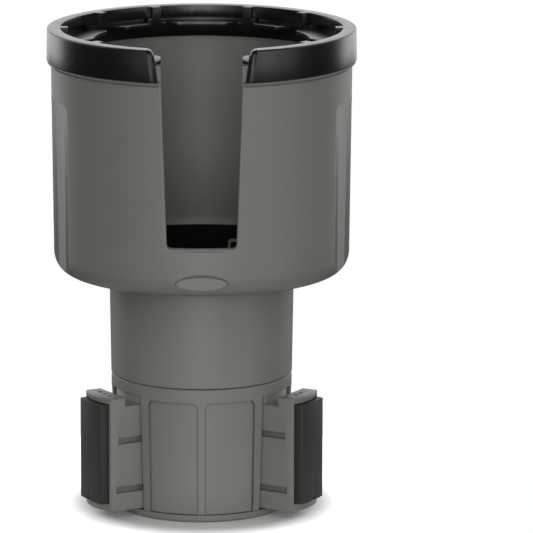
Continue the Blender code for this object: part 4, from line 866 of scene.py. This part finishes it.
def grip_cutter(name, first, last):
    """Upright shallow hollow between two bearings, with rounded top corners."""
    middle, swing = (first + last) / 2, abs(last - first) / 2
    half = CUP_TOP_RADIUS * math.sin(swing)
    centre = CUP_TOP_RADIUS * math.cos(swing) + math.sqrt(GRIP_CURVE ** 2 - half ** 2)
    out, across = heading(middle), heading(middle + math.pi / 2)
    low, level = CUP_FOOT_Z, CUP_FOOT_Z + CUP_WALL_HEIGHT - GRIP_TOP_MARGIN
    draft = cup_radius(level) - cup_radius(low)
    sections = []
    for side in spread(-half - GRIP_PAST, half + GRIP_PAST, GRIP_COLUMNS):
        near = centre - math.sqrt(GRIP_CURVE ** 2 - side ** 2) - (CUP_TOP_RADIUS - cup_radius(level))
        far = near + 9 * mm
        top = rounded_height(max(half - abs(side), 0.0), GRIP_CORNER, level)
        line = across * side
        sections.append([line + out * d + Vector((0, 0, z))
                         for d, z in ((near - draft, low), (far, low), (far, top), (near, top))])
    bm = bmesh.new()
    add_lofted(bm, sections)
    return finish(bm, name)


# %% Thumb scoop
SCOOP_HALF_WIDTH = 11.0 * mm
SCOOP_HALF_HEIGHT = 3.9 * mm
SCOOP_CENTRE = 5.7 * mm         # above the cup's underside
SCOOP_DEPTH = 1.9 * mm
SCOOP_SLOPE = 1.5 * mm          # width of the sloping edge
SCOOP_STEPS = 96


def scoop_cutter():
    """Cutter for the thumb scoop: an oval with a flat floor and a sloping edge."""
    floor = -CUP_FOOT_RADIUS + SCOOP_DEPTH
    middle = CUP_FOOT_Z + SCOOP_CENTRE
    turns = spread(0, math.tau, SCOOP_STEPS)[:-1]
    bm = bmesh.new()
    add_lofted(bm, [[Vector(((SCOOP_HALF_WIDTH - inset) * math.cos(a), y,
                             middle + (SCOOP_HALF_HEIGHT - inset) * math.sin(a))) for a in turns]
                    for y, inset in ((floor, SCOOP_SLOPE), (floor - 2 * SCOOP_DEPTH, -SCOOP_SLOPE))])
    return finish(bm, "thumb_scoop_tool")


# %% [markdown]
# ## Floor mat and its locator
# A dark mat lies on the cup's floor, notched round a small upright arch that keeps it from turning.
# The arch is part of the cup. Its outside and its window are two skinned outlines, one joined to
# the cup and one cut from it.


# %% Locator and mat
TAB_OFFSET = 13.4 * mm          # upright mat locator, to the right of the axis
TAB_WIDTH = 6.8 * mm
TAB_THICKNESS = 1.6 * mm
TAB_HEIGHT = 4.3 * mm           # above the mat
TAB_BAR = 1.0 * mm
TAB_CORNER = 1.7 * mm
MAT_THICKNESS = 3.0 * mm
MAT_CHAMFER = 2.0 * mm
MAT_CLEARANCE = 0.8 * mm        # inside the curve round the cup's floor
MAT_EDGE = 0.3 * mm
MAT_TOP_Z = FLOOR_Z + GAP + MAT_THICKNESS


def locator_tab(bm):
    """Upright arch that stands through the mat beside the axis."""
    half, bar = TAB_WIDTH / 2, TAB_BAR
    top = MAT_TOP_Z + TAB_HEIGHT
    foot = FLOOR_Z - OVERLAP
    level, middle = top - TAB_CORNER, half - TAB_CORNER
    outer = [(half, foot)] + arc((middle, level), TAB_CORNER, 0, 90)
    outer += arc((-middle, level), TAB_CORNER, 90, 180) + [(-half, foot)]
    inner_foot = MAT_TOP_Z + TAB_BAR / 2
    inner = [(half - bar, inner_foot)] + arc((middle, level), TAB_CORNER - bar, 0, 90)
    inner += arc((-middle, level), TAB_CORNER - bar, 90, 180) + [(bar - half, inner_foot)]
    for outline, grow, target in ((outer, 0.0, bm[0]), (inner, 2 * mm, bm[1])):
        thick = TAB_THICKNESS / 2 + grow
        add_lofted(target, [[Vector((TAB_OFFSET + x, y, z)) for x, z in outline] for y in (-thick, thick)])


def floor_curve_radius(height):
    """Inside of the cup within the curve round its floor, at a height above the floor."""
    short = max(CUP_FLOOR_FILLET - height, 0.0)
    return CUP_FOOT_RADIUS - CUP_WALL - CUP_FLOOR_FILLET + math.sqrt(CUP_FLOOR_FILLET ** 2 - short ** 2)


def floor_mat():
    """Loose disc on the cup's floor, notched round the locator."""
    low, high, edge = FLOOR_Z + GAP, MAT_TOP_Z, MAT_EDGE
    under = floor_curve_radius(GAP) - GAP
    radius = floor_curve_radius(GAP + MAT_CHAMFER) - MAT_CLEARANCE
    profile = [(0, low), (under, low), (radius, low + MAT_CHAMFER), (radius, high - edge)]
    profile += [(radius - edge, high), (0, high)]
    mat = turned("floor_mat", profile, "black_rubber")
    bm = bmesh.new()
    half, thick = TAB_WIDTH / 2 + GAP, TAB_THICKNESS / 2 + GAP
    corners = [(-half, -thick), (half, -thick), (half, thick), (-half, thick)]
    add_prism(bm, [(TAB_OFFSET + x, y) for x, y in corners], low - 2 * mm, high + 2 * mm)
    cut(mat, finish(bm, "mat_notch_tool"))
    return mat


# %% [markdown]
# ## Cup
# The cup is one moulding, so all that belongs to it ends up in one mesh. The wall is turned from a
# single profile that runs up the outside and down the inside, and the slot, the grips, the scoop
# and the screw seats are cut from it in turn.


# %% Cup
def cup_profile():
    """Profile of the cup: up its outside to the spigot and down its inside to the middle of the floor."""
    foot, fillet, curve = CUP_FOOT_Z, CUP_FILLET, CUP_FLOOR_FILLET
    shoulder_foot = foot + CUP_WALL_HEIGHT
    ledge = shoulder_foot + SHOULDER_COVE
    outside = [(0, foot)] + arc((CUP_FOOT_RADIUS - fillet, foot + fillet), fillet, -90, 0)
    outside += [(cup_radius(z), z) for z in spread(foot + fillet, shoulder_foot, CUP_WALL_ROWS)[1:]]
    outside += [(SHOULDER_RADIUS - SPIGOT_EDGE, ledge), (SHOULDER_RADIUS, ledge + SHOULDER_EDGE)]
    outside += [(SHOULDER_RADIUS, SHOULDER_Z - SHOULDER_EDGE), (SHOULDER_RADIUS - SHOULDER_EDGE, SHOULDER_Z)]
    outside += [(SPIGOT_RADIUS, SHOULDER_Z), (SPIGOT_RADIUS, SPIGOT_Z - SPIGOT_EDGE)]
    outside += [(SPIGOT_RADIUS - SPIGOT_EDGE, SPIGOT_Z)]
    inside = [(CUP_TOP_RADIUS - CUP_WALL, SPIGOT_Z)]
    rows = spread(shoulder_foot, FLOOR_Z + curve, CUP_WALL_ROWS)[:-1]
    inside += [(cup_radius(z) - CUP_WALL, z) for z in rows]
    inside += arc((CUP_FOOT_RADIUS - CUP_WALL - curve, FLOOR_Z + curve), curve, 0, -90)
    return outside + inside + [(0, FLOOR_Z)]


def cup_body():
    """Slotted cup in one moulding: floor, drafted wall, shoulder, spigot, grips and mat locator."""
    foot = CUP_FOOT_Z
    cup = turned("cup_body", cup_profile(), "grey_plastic")

    def slot(grow):
        return slot_outline(SLOT_FOOT_WIDTH, SLOT_TOP_WIDTH, foot + SLOT_SILL, SPIGOT_Z, SLOT_CORNER, 0,
                            SPIGOT_Z + 6 * mm, grow)

    behind = math.sqrt((CUP_FOOT_RADIUS - CUP_WALL) ** 2 - (SLOT_TOP_WIDTH / 2) ** 2) - CUP_WALL
    cut(cup, slot_cutter("cup_slot_tool", slot, cup_radius, behind, SLOT_EDGE_ROUND))
    spans = ((GRIP_NEAR_BEARING, GRIP_RIDGE_BEARING), (GRIP_RIDGE_BEARING, math.pi - GRIP_NEAR_BEARING))
    for side in (-1, 1):
        for first, last in spans:
            near, far = first + GRIP_RIDGE_WIDTH, last - GRIP_RIDGE_WIDTH
            cut(cup, grip_cutter("grip_tool", side * near, side * far))
    cut(cup, scoop_cutter())
    arch = (bmesh.new(), bmesh.new())
    locator_tab(arch)
    join(cup, finish(arch[0], "locator_tab_tool"))
    cut(cup, finish(arch[1], "locator_window_tool"))
    bm = bmesh.new()
    head, shank = CUP_SCREW["head"] + GAP, CUP_SCREW["shank"] + GAP
    seat = FLOOR_Z - CUP_SCREW["head_height"] - GAP
    low, high = foot - 1 * mm, FLOOR_Z + 1 * mm
    for b in SCREW_BEARINGS:
        p = heading(b, NECK_BOSS_CIRCLE)
        add_turned(bm, [(0, low), (shank, low), (shank, seat), (head, seat), (head, high), (0, high)],
                   SMALL_STEPS, (p.x, p.y))
    cut(cup, finish(bm, "floor_screw_seats_tool"))
    return cup


dress(cup_body(), "cup_body", "cup", 0)
dress(floor_mat(), "floor_mat", "cup", SOFT_EDGE)

# %% [markdown]
# ## Sizes of the rim
# One soft moulding is pushed over the cup's mouth: a band outside, a skirt inside, and between
# them the channel that takes the spigot. Posts stand inside the mouth with pockets between them.

# %% Rim
RIM_OVERHANG = 0.4 * mm         # the rim's foot stands outside the shoulder by this
RIM_RADIUS = SHOULDER_RADIUS + RIM_OVERHANG
RIM_DRAFT = 0.2 * mm            # the rim's top is smaller than its foot by this
RIM_TOP_ROUND = 0.6 * mm
RIM_ROUND_STEP = math.radians(30)
RIM_FOOT_EDGE = 0.2 * mm
RIM_WIDTH = 8.1 * mm            # outside to the face of the posts
RIM_INNER_RADIUS = RIM_RADIUS - RIM_WIDTH
RIM_ROOF = 0.6 * mm             # over the top of the cup's wall
SKIRT_FLARE = 1.6 * mm          # the inner skirt is wider at its lower edge by this
SKIRT_LIFT = 0.2 * mm           # its lower edge is above the rim's foot by this
MOUTH_MARGIN = 1.0 * mm         # the rim's gap is wider than the slot by this, where they meet
MOUTH_SPREAD = 4.8 * mm         # the gap is wider at its top by this
RIM_MOUTH_FOOT = SLOT_TOP_WIDTH + MOUTH_MARGIN
RIM_MOUTH_TOP = RIM_MOUTH_FOOT + MOUTH_SPREAD
RIM_END_ROUND = 2.6 * mm
MOUTH_CORNER_MARGIN = 0.3 * mm  # the top corners of the gap are rounded by this much more than its edges
RIM_MOUTH_CORNER = RIM_END_ROUND + MOUTH_CORNER_MARGIN
RELIEF_REACH = 1.3 * mm         # the undercut above a flap's root reaches further than its pocket
RELIEF_HEIGHT = 1.6 * mm
RELIEF_MARGIN = 2.0             # degrees that the undercut reaches past each end of its flap
RELIEF_OVERLAP = 0.1 * mm       # the undercut runs into its pocket by this
RELIEF_STEP = 2.5               # degrees between its columns
POCKET_REACH = 2.9 * mm         # a pocket cuts back into the posts' face by this
POCKET_DEPTH = 4.1 * mm
POCKET_STEP = 5                 # degrees between its columns
MOUTH_OVERLAP = 4               # degrees by which the last pockets run into the rim's gap
POST_WIDTH = 3.4 * mm
POST_BEARINGS = (20.0, 48.0, 90.0, 132.0)          # degrees from the back, both sides
RIM_FOOT_Z = SHOULDER_Z + GAP
FLAP_ROOT_Z = SPIGOT_Z + GAP + RIM_ROOF
POCKET_FLOOR_Z = FLAP_ROOT_Z + RELIEF_HEIGHT
RIM_TOP_Z = POCKET_FLOOR_Z + POCKET_DEPTH
print("rim:", round(2 * RIM_RADIUS / mm, 1), "mm across, top at", round(RIM_TOP_Z / mm, 1), "mm")

# %% [markdown]
# ## Bottle flaps
# Thin flaps reach in from the rim and hold a narrow bottle upright. Each is skinned from columns
# that stand closer together at its rounded ends. A rounded box bent round the axis would do too,
# but its corners would follow the bend instead of staying round.


# %% Flaps
FLAP_REACH = 9.7 * mm           # in from the face of the posts
FLAP_TIP_RADIUS = RIM_INNER_RADIUS - FLAP_REACH
FLAP_THICKNESS = 1.2 * mm
FLAP_RISE = 0.9 * mm            # each flap lifts towards its tip
FLAP_CORNER = 2.6 * mm
FLAP_FREE_CORNER = 4.6 * mm     # both corners of the two flap ends that stand in the gap
FLAP_TAPER = 1.0                # degrees that each end draws in at the tip
# The middle of each flap and half its width, in degrees from the back
FLAP_SPANS = ((0.0, 16.3), (36.0, 10.0), (74.5, 16.5), (112.0, 14.5), (148.0, 13.3))
CORNER_SHARES = (0, 0.08, 0.3, 0.6)     # where the columns of a rounded end stand


def flap_shares(half, corners):
    """Where a flap gets its columns, as shares of its half-angle: closer together at its rounded ends."""
    ends = [corner / FLAP_TIP_RADIUS / half for corner in corners]
    left = [end * ends[0] - 1 for end in CORNER_SHARES]
    right = [1 - end * ends[1] for end in reversed(CORNER_SHARES)]
    return left + spread(ends[0] - 1, 1 - ends[1], 4) + right


def flap_sector(bm, middle, half, free):
    """One bottle flap: a thin tongue from its root in the rim's wall. Its free end stands in the gap."""
    full_root = RIM_INNER_RADIUS + RELIEF_REACH
    tip_half = half - math.radians(FLAP_TAPER)
    corners = [FLAP_FREE_CORNER if free == side else FLAP_CORNER for side in (-1, 1)]
    sections = []
    for share in flap_shares(half, corners):
        near, far = middle + share * half, middle + share * tip_half
        run = (1 - abs(share)) * half * FLAP_TIP_RADIUS
        drawn_in = -rounded_height(run, corners[share > 0], 0.0)
        tip = FLAP_TIP_RADIUS + drawn_in
        root = full_root - (drawn_in if free * share > 0 else 0.0)
        heights = [FLAP_ROOT_Z + FLAP_RISE * (full_root - r) / FLAP_REACH for r in (root, tip)]
        sections.append([heading(near, root, heights[0]), heading(far, tip, heights[1]),
                         heading(far, tip, heights[1] - FLAP_THICKNESS),
                         heading(near, root, heights[0] - FLAP_THICKNESS)])
    add_lofted(bm, sections)


def relief_sector(bm, middle, half):
    """Gap above a flap's root, cut back into the wall."""
    bearings = spread(middle - half, middle + half, max(4, round(math.degrees(half) / RELIEF_STEP)))
    reach = RIM_INNER_RADIUS + POCKET_REACH + RELIEF_REACH
    low, high = FLAP_ROOT_Z - RELIEF_OVERLAP, POCKET_FLOOR_Z + RELIEF_OVERLAP
    add_lofted(bm, sector_columns(bearings, lambda *_: RIM_INNER_RADIUS - 3 * mm, reach,
                                  lambda _: low, lambda _: high))


# %% Rim with pockets and flaps
def rim_profile():
    """Profile of the rim: a band outside and a skirt inside the channel that takes the cup's spigot."""
    top, foot, edge = RIM_TOP_Z, RIM_FOOT_Z, RIM_FOOT_EDGE
    band_inside = SPIGOT_RADIUS + GAP
    skirt_outside = CUP_TOP_RADIUS - CUP_WALL - GAP
    skirt_foot = foot + SKIRT_LIFT
    channel = SPIGOT_Z + GAP
    crown = RIM_RADIUS - RIM_DRAFT - RIM_TOP_ROUND
    profile = [(band_inside, foot), (RIM_RADIUS - edge, foot), (RIM_RADIUS, foot + edge)]
    profile += arc((crown, top - RIM_TOP_ROUND), RIM_TOP_ROUND, 0, 90, RIM_ROUND_STEP)
    profile += [(RIM_INNER_RADIUS, top), (RIM_INNER_RADIUS, FLAP_ROOT_Z - FLAP_THICKNESS)]
    profile += [(RIM_INNER_RADIUS + SKIRT_FLARE, skirt_foot), (skirt_outside, skirt_foot)]
    profile += [(skirt_outside, channel), (band_inside, channel)]
    return profile


def rim_pockets():
    """Cutters for the pockets between the posts, on both sides from the back to the rim's gap."""
    posts = [math.radians(b) for b in POST_BEARINGS]
    edges = [-posts[0]] + posts
    ends = math.pi - math.asin(RIM_MOUTH_FOOT / 2 / RIM_RADIUS)
    half_post = POST_WIDTH / 2 / RIM_INNER_RADIUS
    bm = bmesh.new()
    for i, start in enumerate(edges):
        stop = edges[i + 1] if i + 1 < len(edges) else ends + math.radians(MOUTH_OVERLAP)
        count = max(4, round(math.degrees(stop - start) / POCKET_STEP))
        sides = (1,) if i == 0 else (-1, 1)
        for side in sides:
            bearings = [math.pi + side * b for b in spread(start + half_post, stop - half_post, count)]
            add_lofted(bm, sector_columns(bearings, lambda *_: RIM_INNER_RADIUS - 4 * mm,
                                          RIM_INNER_RADIUS + POCKET_REACH,
                                          lambda _: POCKET_FLOOR_Z, lambda _: RIM_TOP_Z + 4 * mm))
    return finish(bm, "rim_pockets_tool")


def rim_ring():
    """Soft rim over the cup's mouth: outer band, inner skirt, posts, pockets and bottle flaps."""
    rim = turned("rim_ring", rim_profile(), "black_rubber")
    cut(rim, rim_pockets())
    reliefs, flaps = bmesh.new(), bmesh.new()
    for middle, half in FLAP_SPANS:
        for side in ((1,) if middle == 0 else (-1, 1)):
            bearing = math.pi + side * math.radians(middle)
            relief_sector(reliefs, bearing, math.radians(half + RELIEF_MARGIN))
            free = side if middle == FLAP_SPANS[-1][0] else 0
            flap_sector(flaps, bearing, math.radians(half), free)
    cut(rim, finish(reliefs, "flap_reliefs_tool"))

    def mouth(grow):
        foot, top = RIM_FOOT_Z, RIM_TOP_Z
        points = slot_outline(RIM_MOUTH_FOOT, RIM_MOUTH_TOP, foot, top, 0, RIM_MOUTH_CORNER,
                              top + 6 * mm, grow)
        return [(points[0][0], foot - 4 * mm)] + points[1:]

    behind = math.sqrt(RIM_INNER_RADIUS ** 2 - (RIM_MOUTH_TOP / 2) ** 2) - RIM_MOUTH_CORNER
    cut(rim, slot_cutter("rim_mouth_tool", mouth, lambda z: RIM_RADIUS, behind, RIM_END_ROUND))
    join(rim, finish(flaps, "flaps_tool"))
    return rim


dress(rim_ring(), "rim_ring", "cup", SOFT_EDGE)

# %% [markdown]
# ## Writing materials as sums
# A material is a tree of nodes, and its arithmetic is easier to read as arithmetic. `Field` wraps
# one number that varies over a surface and lets it be added and multiplied. `Tree` adds any other
# node by its type, its settings and what feeds it, and `Surface` is the tree of one material.


# %% Node helpers
class Field:
    """A number that varies over a surface."""

    def __init__(self, tree, socket):
        self.tree = tree
        self.socket = socket

    def apply(self, operation, first, second):
        made = self.tree.node("ShaderNodeMath", {"operation": operation}, {0: first, 1: second})
        return Field(self.tree, made.outputs[0])

    def __add__(self, other):
        return self.apply("ADD", self, other)

    def __radd__(self, other):
        return self.apply("ADD", other, self)

    def __mul__(self, other):
        return self.apply("MULTIPLY", self, other)

    def __rmul__(self, other):
        return self.apply("MULTIPLY", other, self)


class Tree:
    """A node tree and a short way to add nodes to it."""

    def __init__(self, nodes):
        self.nodes = nodes

    def node(self, kind, settings, feeds):
        """Add a node of a type: its settings first, then what feeds its sockets."""
        made = self.nodes.nodes.new(kind)
        for key, value in settings.items():
            setattr(made, key, value)
        for key, value in feeds.items():
            self.feed(made.inputs[key], value)
        return made

    def feed(self, socket, value):
        """Give a socket a fixed value, or link it to a field or another socket."""
        if isinstance(value, Field):
            value = value.socket
        if isinstance(value, bpy.types.NodeSocket):
            self.nodes.links.new(value, socket)
        else:
            socket.default_value = value


class Surface(Tree):
    """The tree of a material with a Principled shader."""

    def __init__(self, name):
        self.material = bpy.data.materials.new(name)
        self.material.use_nodes = True
        super().__init__(self.material.node_tree)
        self.shader = self.nodes.nodes["Principled BSDF"]
        self.place = self.node("ShaderNodeTexCoord", {}, {}).outputs["Object"]

    def paint(self, key, value):
        """Set or link one of the shader's own sockets."""
        self.feed(self.shader.inputs[key], value)

    def noise(self, size, detail, stretch=(1, 1, 1)):
        """Noise whose features are about as large as size, in metres."""
        where = self.node("ShaderNodeMapping", {}, {"Vector": self.place, "Scale": stretch}).outputs[0]
        made = self.node("ShaderNodeTexNoise", {}, {"Vector": where, "Scale": 1 / size, "Detail": detail,
                                                    "Roughness": 0.55})
        return Field(self, made.outputs["Fac"])

    def smooth_step(self, value, low, high):
        """Share that rises softly from 0 at low to 1 at high."""
        made = self.node("ShaderNodeMapRange", {"interpolation_type": "SMOOTHSTEP"},
                         {"Value": value, "From Min": low, "From Max": high})
        return Field(self, made.outputs["Result"])

    def blend(self, share, first, second):
        """Colour between two colours."""
        made = self.node("ShaderNodeMix", {"data_type": "RGBA"}, {0: share, 6: first, 7: second})
        return made.outputs[2]

    def relief(self, height, depth):
        """Bump of a height field, depth in metres."""
        made = self.node("ShaderNodeBump", {}, {"Height": height, "Distance": depth, "Strength": 1.0})
        self.paint("Normal", made.outputs[0])


# %% [markdown]
# ## Moulded plastic and rubber
# The real mouldings are satin: their colour hardly varies, but a fine grain breaks up the
# reflections. Shade is painted into the colour as well: narrow recesses are painted darker than
# open faces. A picture could carry the grain, but noise needs no unwrapping and stays sharp from
# near. The recesses for the painted shade are found with ambient occlusion over a short reach.


# %% Moulded finish
# Painted shade: ambient occlusion darkens the colour in narrow recesses, on top of the real shade from the
# lamps.
PAINTED_SHADE_REACH = 2.2 * mm         # how far a surface looks round for walls that shade it
PAINTED_RECESS_SHADE = 0.10             # brightness of the deepest recess
PAINTED_SHADE_OPEN = (0.20, 0.85)      # openness at which a surface is fully dark, and fully itself


def darker(colour, share):
    """The same colour at a share of its brightness."""
    return tuple(c * share for c in colour[:3]) + (1,)


def moulded(name, dark, light, roughness, uneven, grain_size, grain_depth, **uniform):
    """Moulded plastic or rubber: faint colour drift, uneven gloss, a fine grain and painted shade in
    recesses.
    """
    made = Surface(name)
    speck = made.noise(0.5 * mm, 1.0)
    drift = made.noise(35 * mm, 3.0) * 0.75 + speck * 0.25
    # Painted shade: the base colour turns darker where ambient occlusion finds walls close by.
    open_share = made.node("ShaderNodeAmbientOcclusion", {"samples": 8, "only_local": True},
                           {"Distance": PAINTED_SHADE_REACH}).outputs["AO"]
    lit = made.smooth_step(open_share, *PAINTED_SHADE_OPEN)
    made.paint("Base Color", made.blend(lit, darker(dark, PAINTED_RECESS_SHADE), made.blend(drift, dark, light)))
    gloss = made.noise(14 * mm, 3.0) * uneven + speck * (uneven * 0.4)
    made.paint("Roughness", gloss + (roughness - 0.7 * uneven))
    made.relief(made.noise(grain_size, 2.0) + made.noise(grain_size * 12, 1.0) * 0.6, grain_depth)
    for key, value in uniform.items():
        made.paint(key.replace("_", " "), value)
    return made.material


# %% [markdown]
# ## Metal
# The screws, the bolt and the pins are plated steel, and the insert is brass. Both get fine tool
# marks from noise that is squeezed along the piece, which is enough for parts as small as these.


# %% Metal finish
def metal(name, colour, roughness):
    """Plated or turned metal with fine tool marks."""
    made = Surface(name)
    marks = made.noise(0.6 * mm, 2.0, (1, 1, 6))
    made.paint("Base Color", made.blend(marks, darker(colour, 0.86), colour))
    made.paint("Roughness", marks * 0.18 + (roughness - 0.09))
    made.relief(marks, 0.01 * mm)
    made.paint("Metallic", 1.0)
    return made.material


# %% [markdown]
# ## The finishes of this object
# The cup, neck and base share one warm grey. The rim is glossier and nearly black, the pads are a
# matt charcoal, and the mat is a soft dark foam that hardly reflects. Pieces that have no fine copy
# keep the model's shape and get the same materials.


# %% Finishes
materials = {
    "grey_plastic": moulded("grey_plastic", (0.174, 0.181, 0.160, 1), (0.190, 0.198, 0.176, 1),
                            roughness=0.45, uneven=0.05, grain_size=0.35 * mm, grain_depth=0.010 * mm),
    "black_rubber": moulded("black_rubber", (0.0055, 0.0060, 0.0055, 1), (0.0080, 0.0085, 0.0080, 1),
                            roughness=0.30, uneven=0.05, grain_size=0.30 * mm, grain_depth=0.008 * mm),
    "pad_rubber": moulded("pad_rubber", (0.027, 0.030, 0.027, 1), (0.031, 0.034, 0.031, 1),
                          roughness=0.55, uneven=0.06, grain_size=0.30 * mm, grain_depth=0.012 * mm,
                          Specular_IOR_Level=0.25),
    "mat_foam": moulded("mat_foam", (0.0015, 0.0015, 0.0015, 1), (0.003, 0.003, 0.003, 1),
                        roughness=0.90, uneven=0.04, grain_size=0.40 * mm, grain_depth=0.015 * mm,
                        Specular_IOR_Level=0.1),
    "drive_plastic": moulded("drive_plastic", (0.53, 0.52, 0.48, 1), (0.57, 0.56, 0.52, 1),
                             roughness=0.38, uneven=0.05, grain_size=0.35 * mm, grain_depth=0.008 * mm),
    "steel": metal("steel", (0.60, 0.60, 0.60, 1), 0.30),
    "brass": metal("brass", (0.70, 0.52, 0.24, 1), 0.32),
}
print("finishes:", ", ".join(materials))


# %% Painting
for piece, slot in fine_pieces:
    finish_name = "mat_foam" if piece.name == "fine_floor_mat" else slot
    piece.data.materials.clear()
    piece.data.materials.append(materials[finish_name])
replaced = {piece.name[len("fine_"):] for piece, _ in fine_pieces}
for entry in frame["record"]["subparts"]:
    if entry["node"] not in replaced:
        for place in frame["nodes"][entry["node"]].material_slots:
            place.material = materials[entry["material_slot"]]

# %% [markdown]
# ## Light
# The object stands in a white studio. It is lit by soft boxes that stand round it: a bright one
# straight in front, weaker ones to the right and left, and a broad white wall behind, whose
# reflection draws the pale lines along the outline. An evenly bright surround would be simpler,
# but it would flatten the round shapes.


# %% Soft boxes
LIGHT_DISTANCE = 2.5
LIGHT_CENTRE = Vector((0, 0, 0.1))


def soft_box(name, azimuth, rise, width, height, glow):
    """Light seen from the object at an azimuth from the front towards +X; all angles in degrees."""
    turn, up = math.radians(azimuth), math.radians(rise)
    way = heading(turn, math.cos(up), math.sin(up))
    light = bpy.data.lights.new(name, "AREA")
    light.shape = "RECTANGLE"
    light.size = 2 * LIGHT_DISTANCE * math.tan(math.radians(width / 2))
    light.size_y = 2 * LIGHT_DISTANCE * math.tan(math.radians(height / 2))
    light.energy = glow * light.size * light.size_y
    holder = bpy.data.objects.new(name, light)
    holder.location = LIGHT_CENTRE + way * LIGHT_DISTANCE
    holder.rotation_euler = (-way).to_track_quat("-Z", "Y").to_euler()
    holder.visible_camera = False
    bpy.context.scene.collection.objects.link(holder)


soft_box("front", azimuth=0, rise=10, width=16, height=40, glow=15)
soft_box("front_high", azimuth=0, rise=43, width=30, height=24, glow=6)
soft_box("front_low", azimuth=0, rise=-25, width=40, height=24, glow=1.2)
soft_box("front_left", azimuth=-15, rise=5, width=14, height=30, glow=6.5)
soft_box("front_right", azimuth=15, rise=5, width=14, height=30, glow=6.5)
soft_box("right_near", azimuth=45, rise=5, width=15, height=30, glow=7)
soft_box("right_far", azimuth=63, rise=5, width=20, height=30, glow=3.2)
soft_box("left_near", azimuth=-40, rise=5, width=24, height=30, glow=2)
soft_box("right_high", azimuth=105, rise=35, width=50, height=28, glow=3.4)
soft_box("left_high", azimuth=-105, rise=35, width=50, height=28, glow=4.4)
soft_box("back", azimuth=180, rise=5, width=68, height=30, glow=4.8)
soft_box("back_high", azimuth=180, rise=35, width=30, height=28, glow=5)
soft_box("back_right", azimuth=135, rise=5, width=22, height=30, glow=7.5)
soft_box("back_left", azimuth=-135, rise=5, width=22, height=30, glow=8)
print(len(bpy.data.lights), "soft boxes")

# %% [markdown]
# ## Surround and floor
# The surround is white to the eye and nearly dark for light and reflections, so the lighting comes
# from the soft boxes alone. The floor is a white disc that keeps the real shadow at the foot. Its
# glow is painted light, seen by the camera only: it grows with the distance from the axis, so the
# disc melts into the surround without an edge, and where it fades in sets the painted outer edge of the
# shadow.


# %% Surround
WORLD_DARK = 0.02


def studio_world():
    """White to the eye and nearly dark for light and reflections."""
    world = bpy.data.worlds.new("studio")
    world.use_nodes = True
    made = Tree(world.node_tree)
    path = made.node("ShaderNodeLightPath", {}, {}).outputs
    seen = made.node("ShaderNodeMath", {"operation": "MAXIMUM"},
                     {0: path["Is Camera Ray"], 1: path["Is Transmission Ray"]}).outputs[0]
    level = made.node("ShaderNodeMix", {}, {0: seen, 2: WORLD_DARK, 3: 1.0}).outputs[0]
    back = world.node_tree.nodes["Background"]
    made.feed(back.inputs["Color"], (1, 1, 1, 1))
    made.feed(back.inputs["Strength"], level)
    bpy.context.scene.world = world


studio_world()
print("surround:", WORLD_DARK, "as light, 1.0 to the eye")


# %% Floor
FLOOR_RADIUS = 0.12
FLOOR_DROP = 0.02 * mm          # the floor lies below the base by this, so the two never share a plane
# Painted glow: the floor's camera-only white starts at the first radius and is full at the second, which
# sets where the real shadow fades out.
SHADOW_RADIUS = (39 * mm, 60 * mm)      # the glow starts at the first and is full at the second


def studio_floor():
    """Round white floor that keeps the real shadow at the foot, with a painted glow that fades it into the
    white surround.
    """
    bm = bmesh.new()
    bmesh.ops.create_circle(bm, cap_ends=True, segments=96, radius=FLOOR_RADIUS)
    mesh = bpy.data.meshes.new("floor")
    bm.to_mesh(mesh)
    bm.free()
    floor = bpy.data.objects.new("floor", mesh)
    floor.location.z = -FLOOR_DROP
    bpy.context.scene.collection.objects.link(floor)
    made = Surface("floor_white")
    grain = made.noise(2 * mm, 2.0)
    made.paint("Base Color", made.blend(grain, (0.94, 0.94, 0.94, 1), (0.96, 0.96, 0.96, 1)))
    radius = made.node("ShaderNodeVectorMath", {"operation": "LENGTH"}, {0: made.place}).outputs["Value"]
    path = made.node("ShaderNodeLightPath", {}, {}).outputs
    # Painted light: a glow seen by the camera only, none near the foot and full white further out.
    seen = Field(made, path["Is Camera Ray"]) * made.smooth_step(radius, *SHADOW_RADIUS)
    made.paint("Emission Color", made.blend(seen, (0, 0, 0, 1), (1, 1, 1, 1)))
    made.paint("Emission Strength", 1.0)
    made.paint("Roughness", 0.9)
    made.paint("Specular IOR Level", 0.0)
    floor.data.materials.append(made.material)


studio_floor()
print("floor:", 2 * FLOOR_RADIUS, "m across")

# %% [markdown]
# ## Camera
# The camera stands two metres away and looks a little down on the cup, as in the photograph. So
# far away, it needs a long lens, and the object hardly tapers. A small shift moves the object to
# the left of the frame without turning the camera.

# %% Camera
camera = bpy.data.cameras.new("camera")
camera.sensor_width = 36
camera.lens = 361.35
camera.shift_x = 0.12166
holder = bpy.data.objects.new("camera", camera)
holder.location = (0, -2.0, 0.506)
holder.rotation_euler = (math.radians(90 - 11.68), 0, 0)
bpy.context.scene.collection.objects.link(holder)
bpy.context.scene.camera = holder
bpy.context.scene.view_settings.view_transform = "Standard"
print("camera:", round(holder.location.length, 2), "m from the foot, lens", camera.lens, "mm")
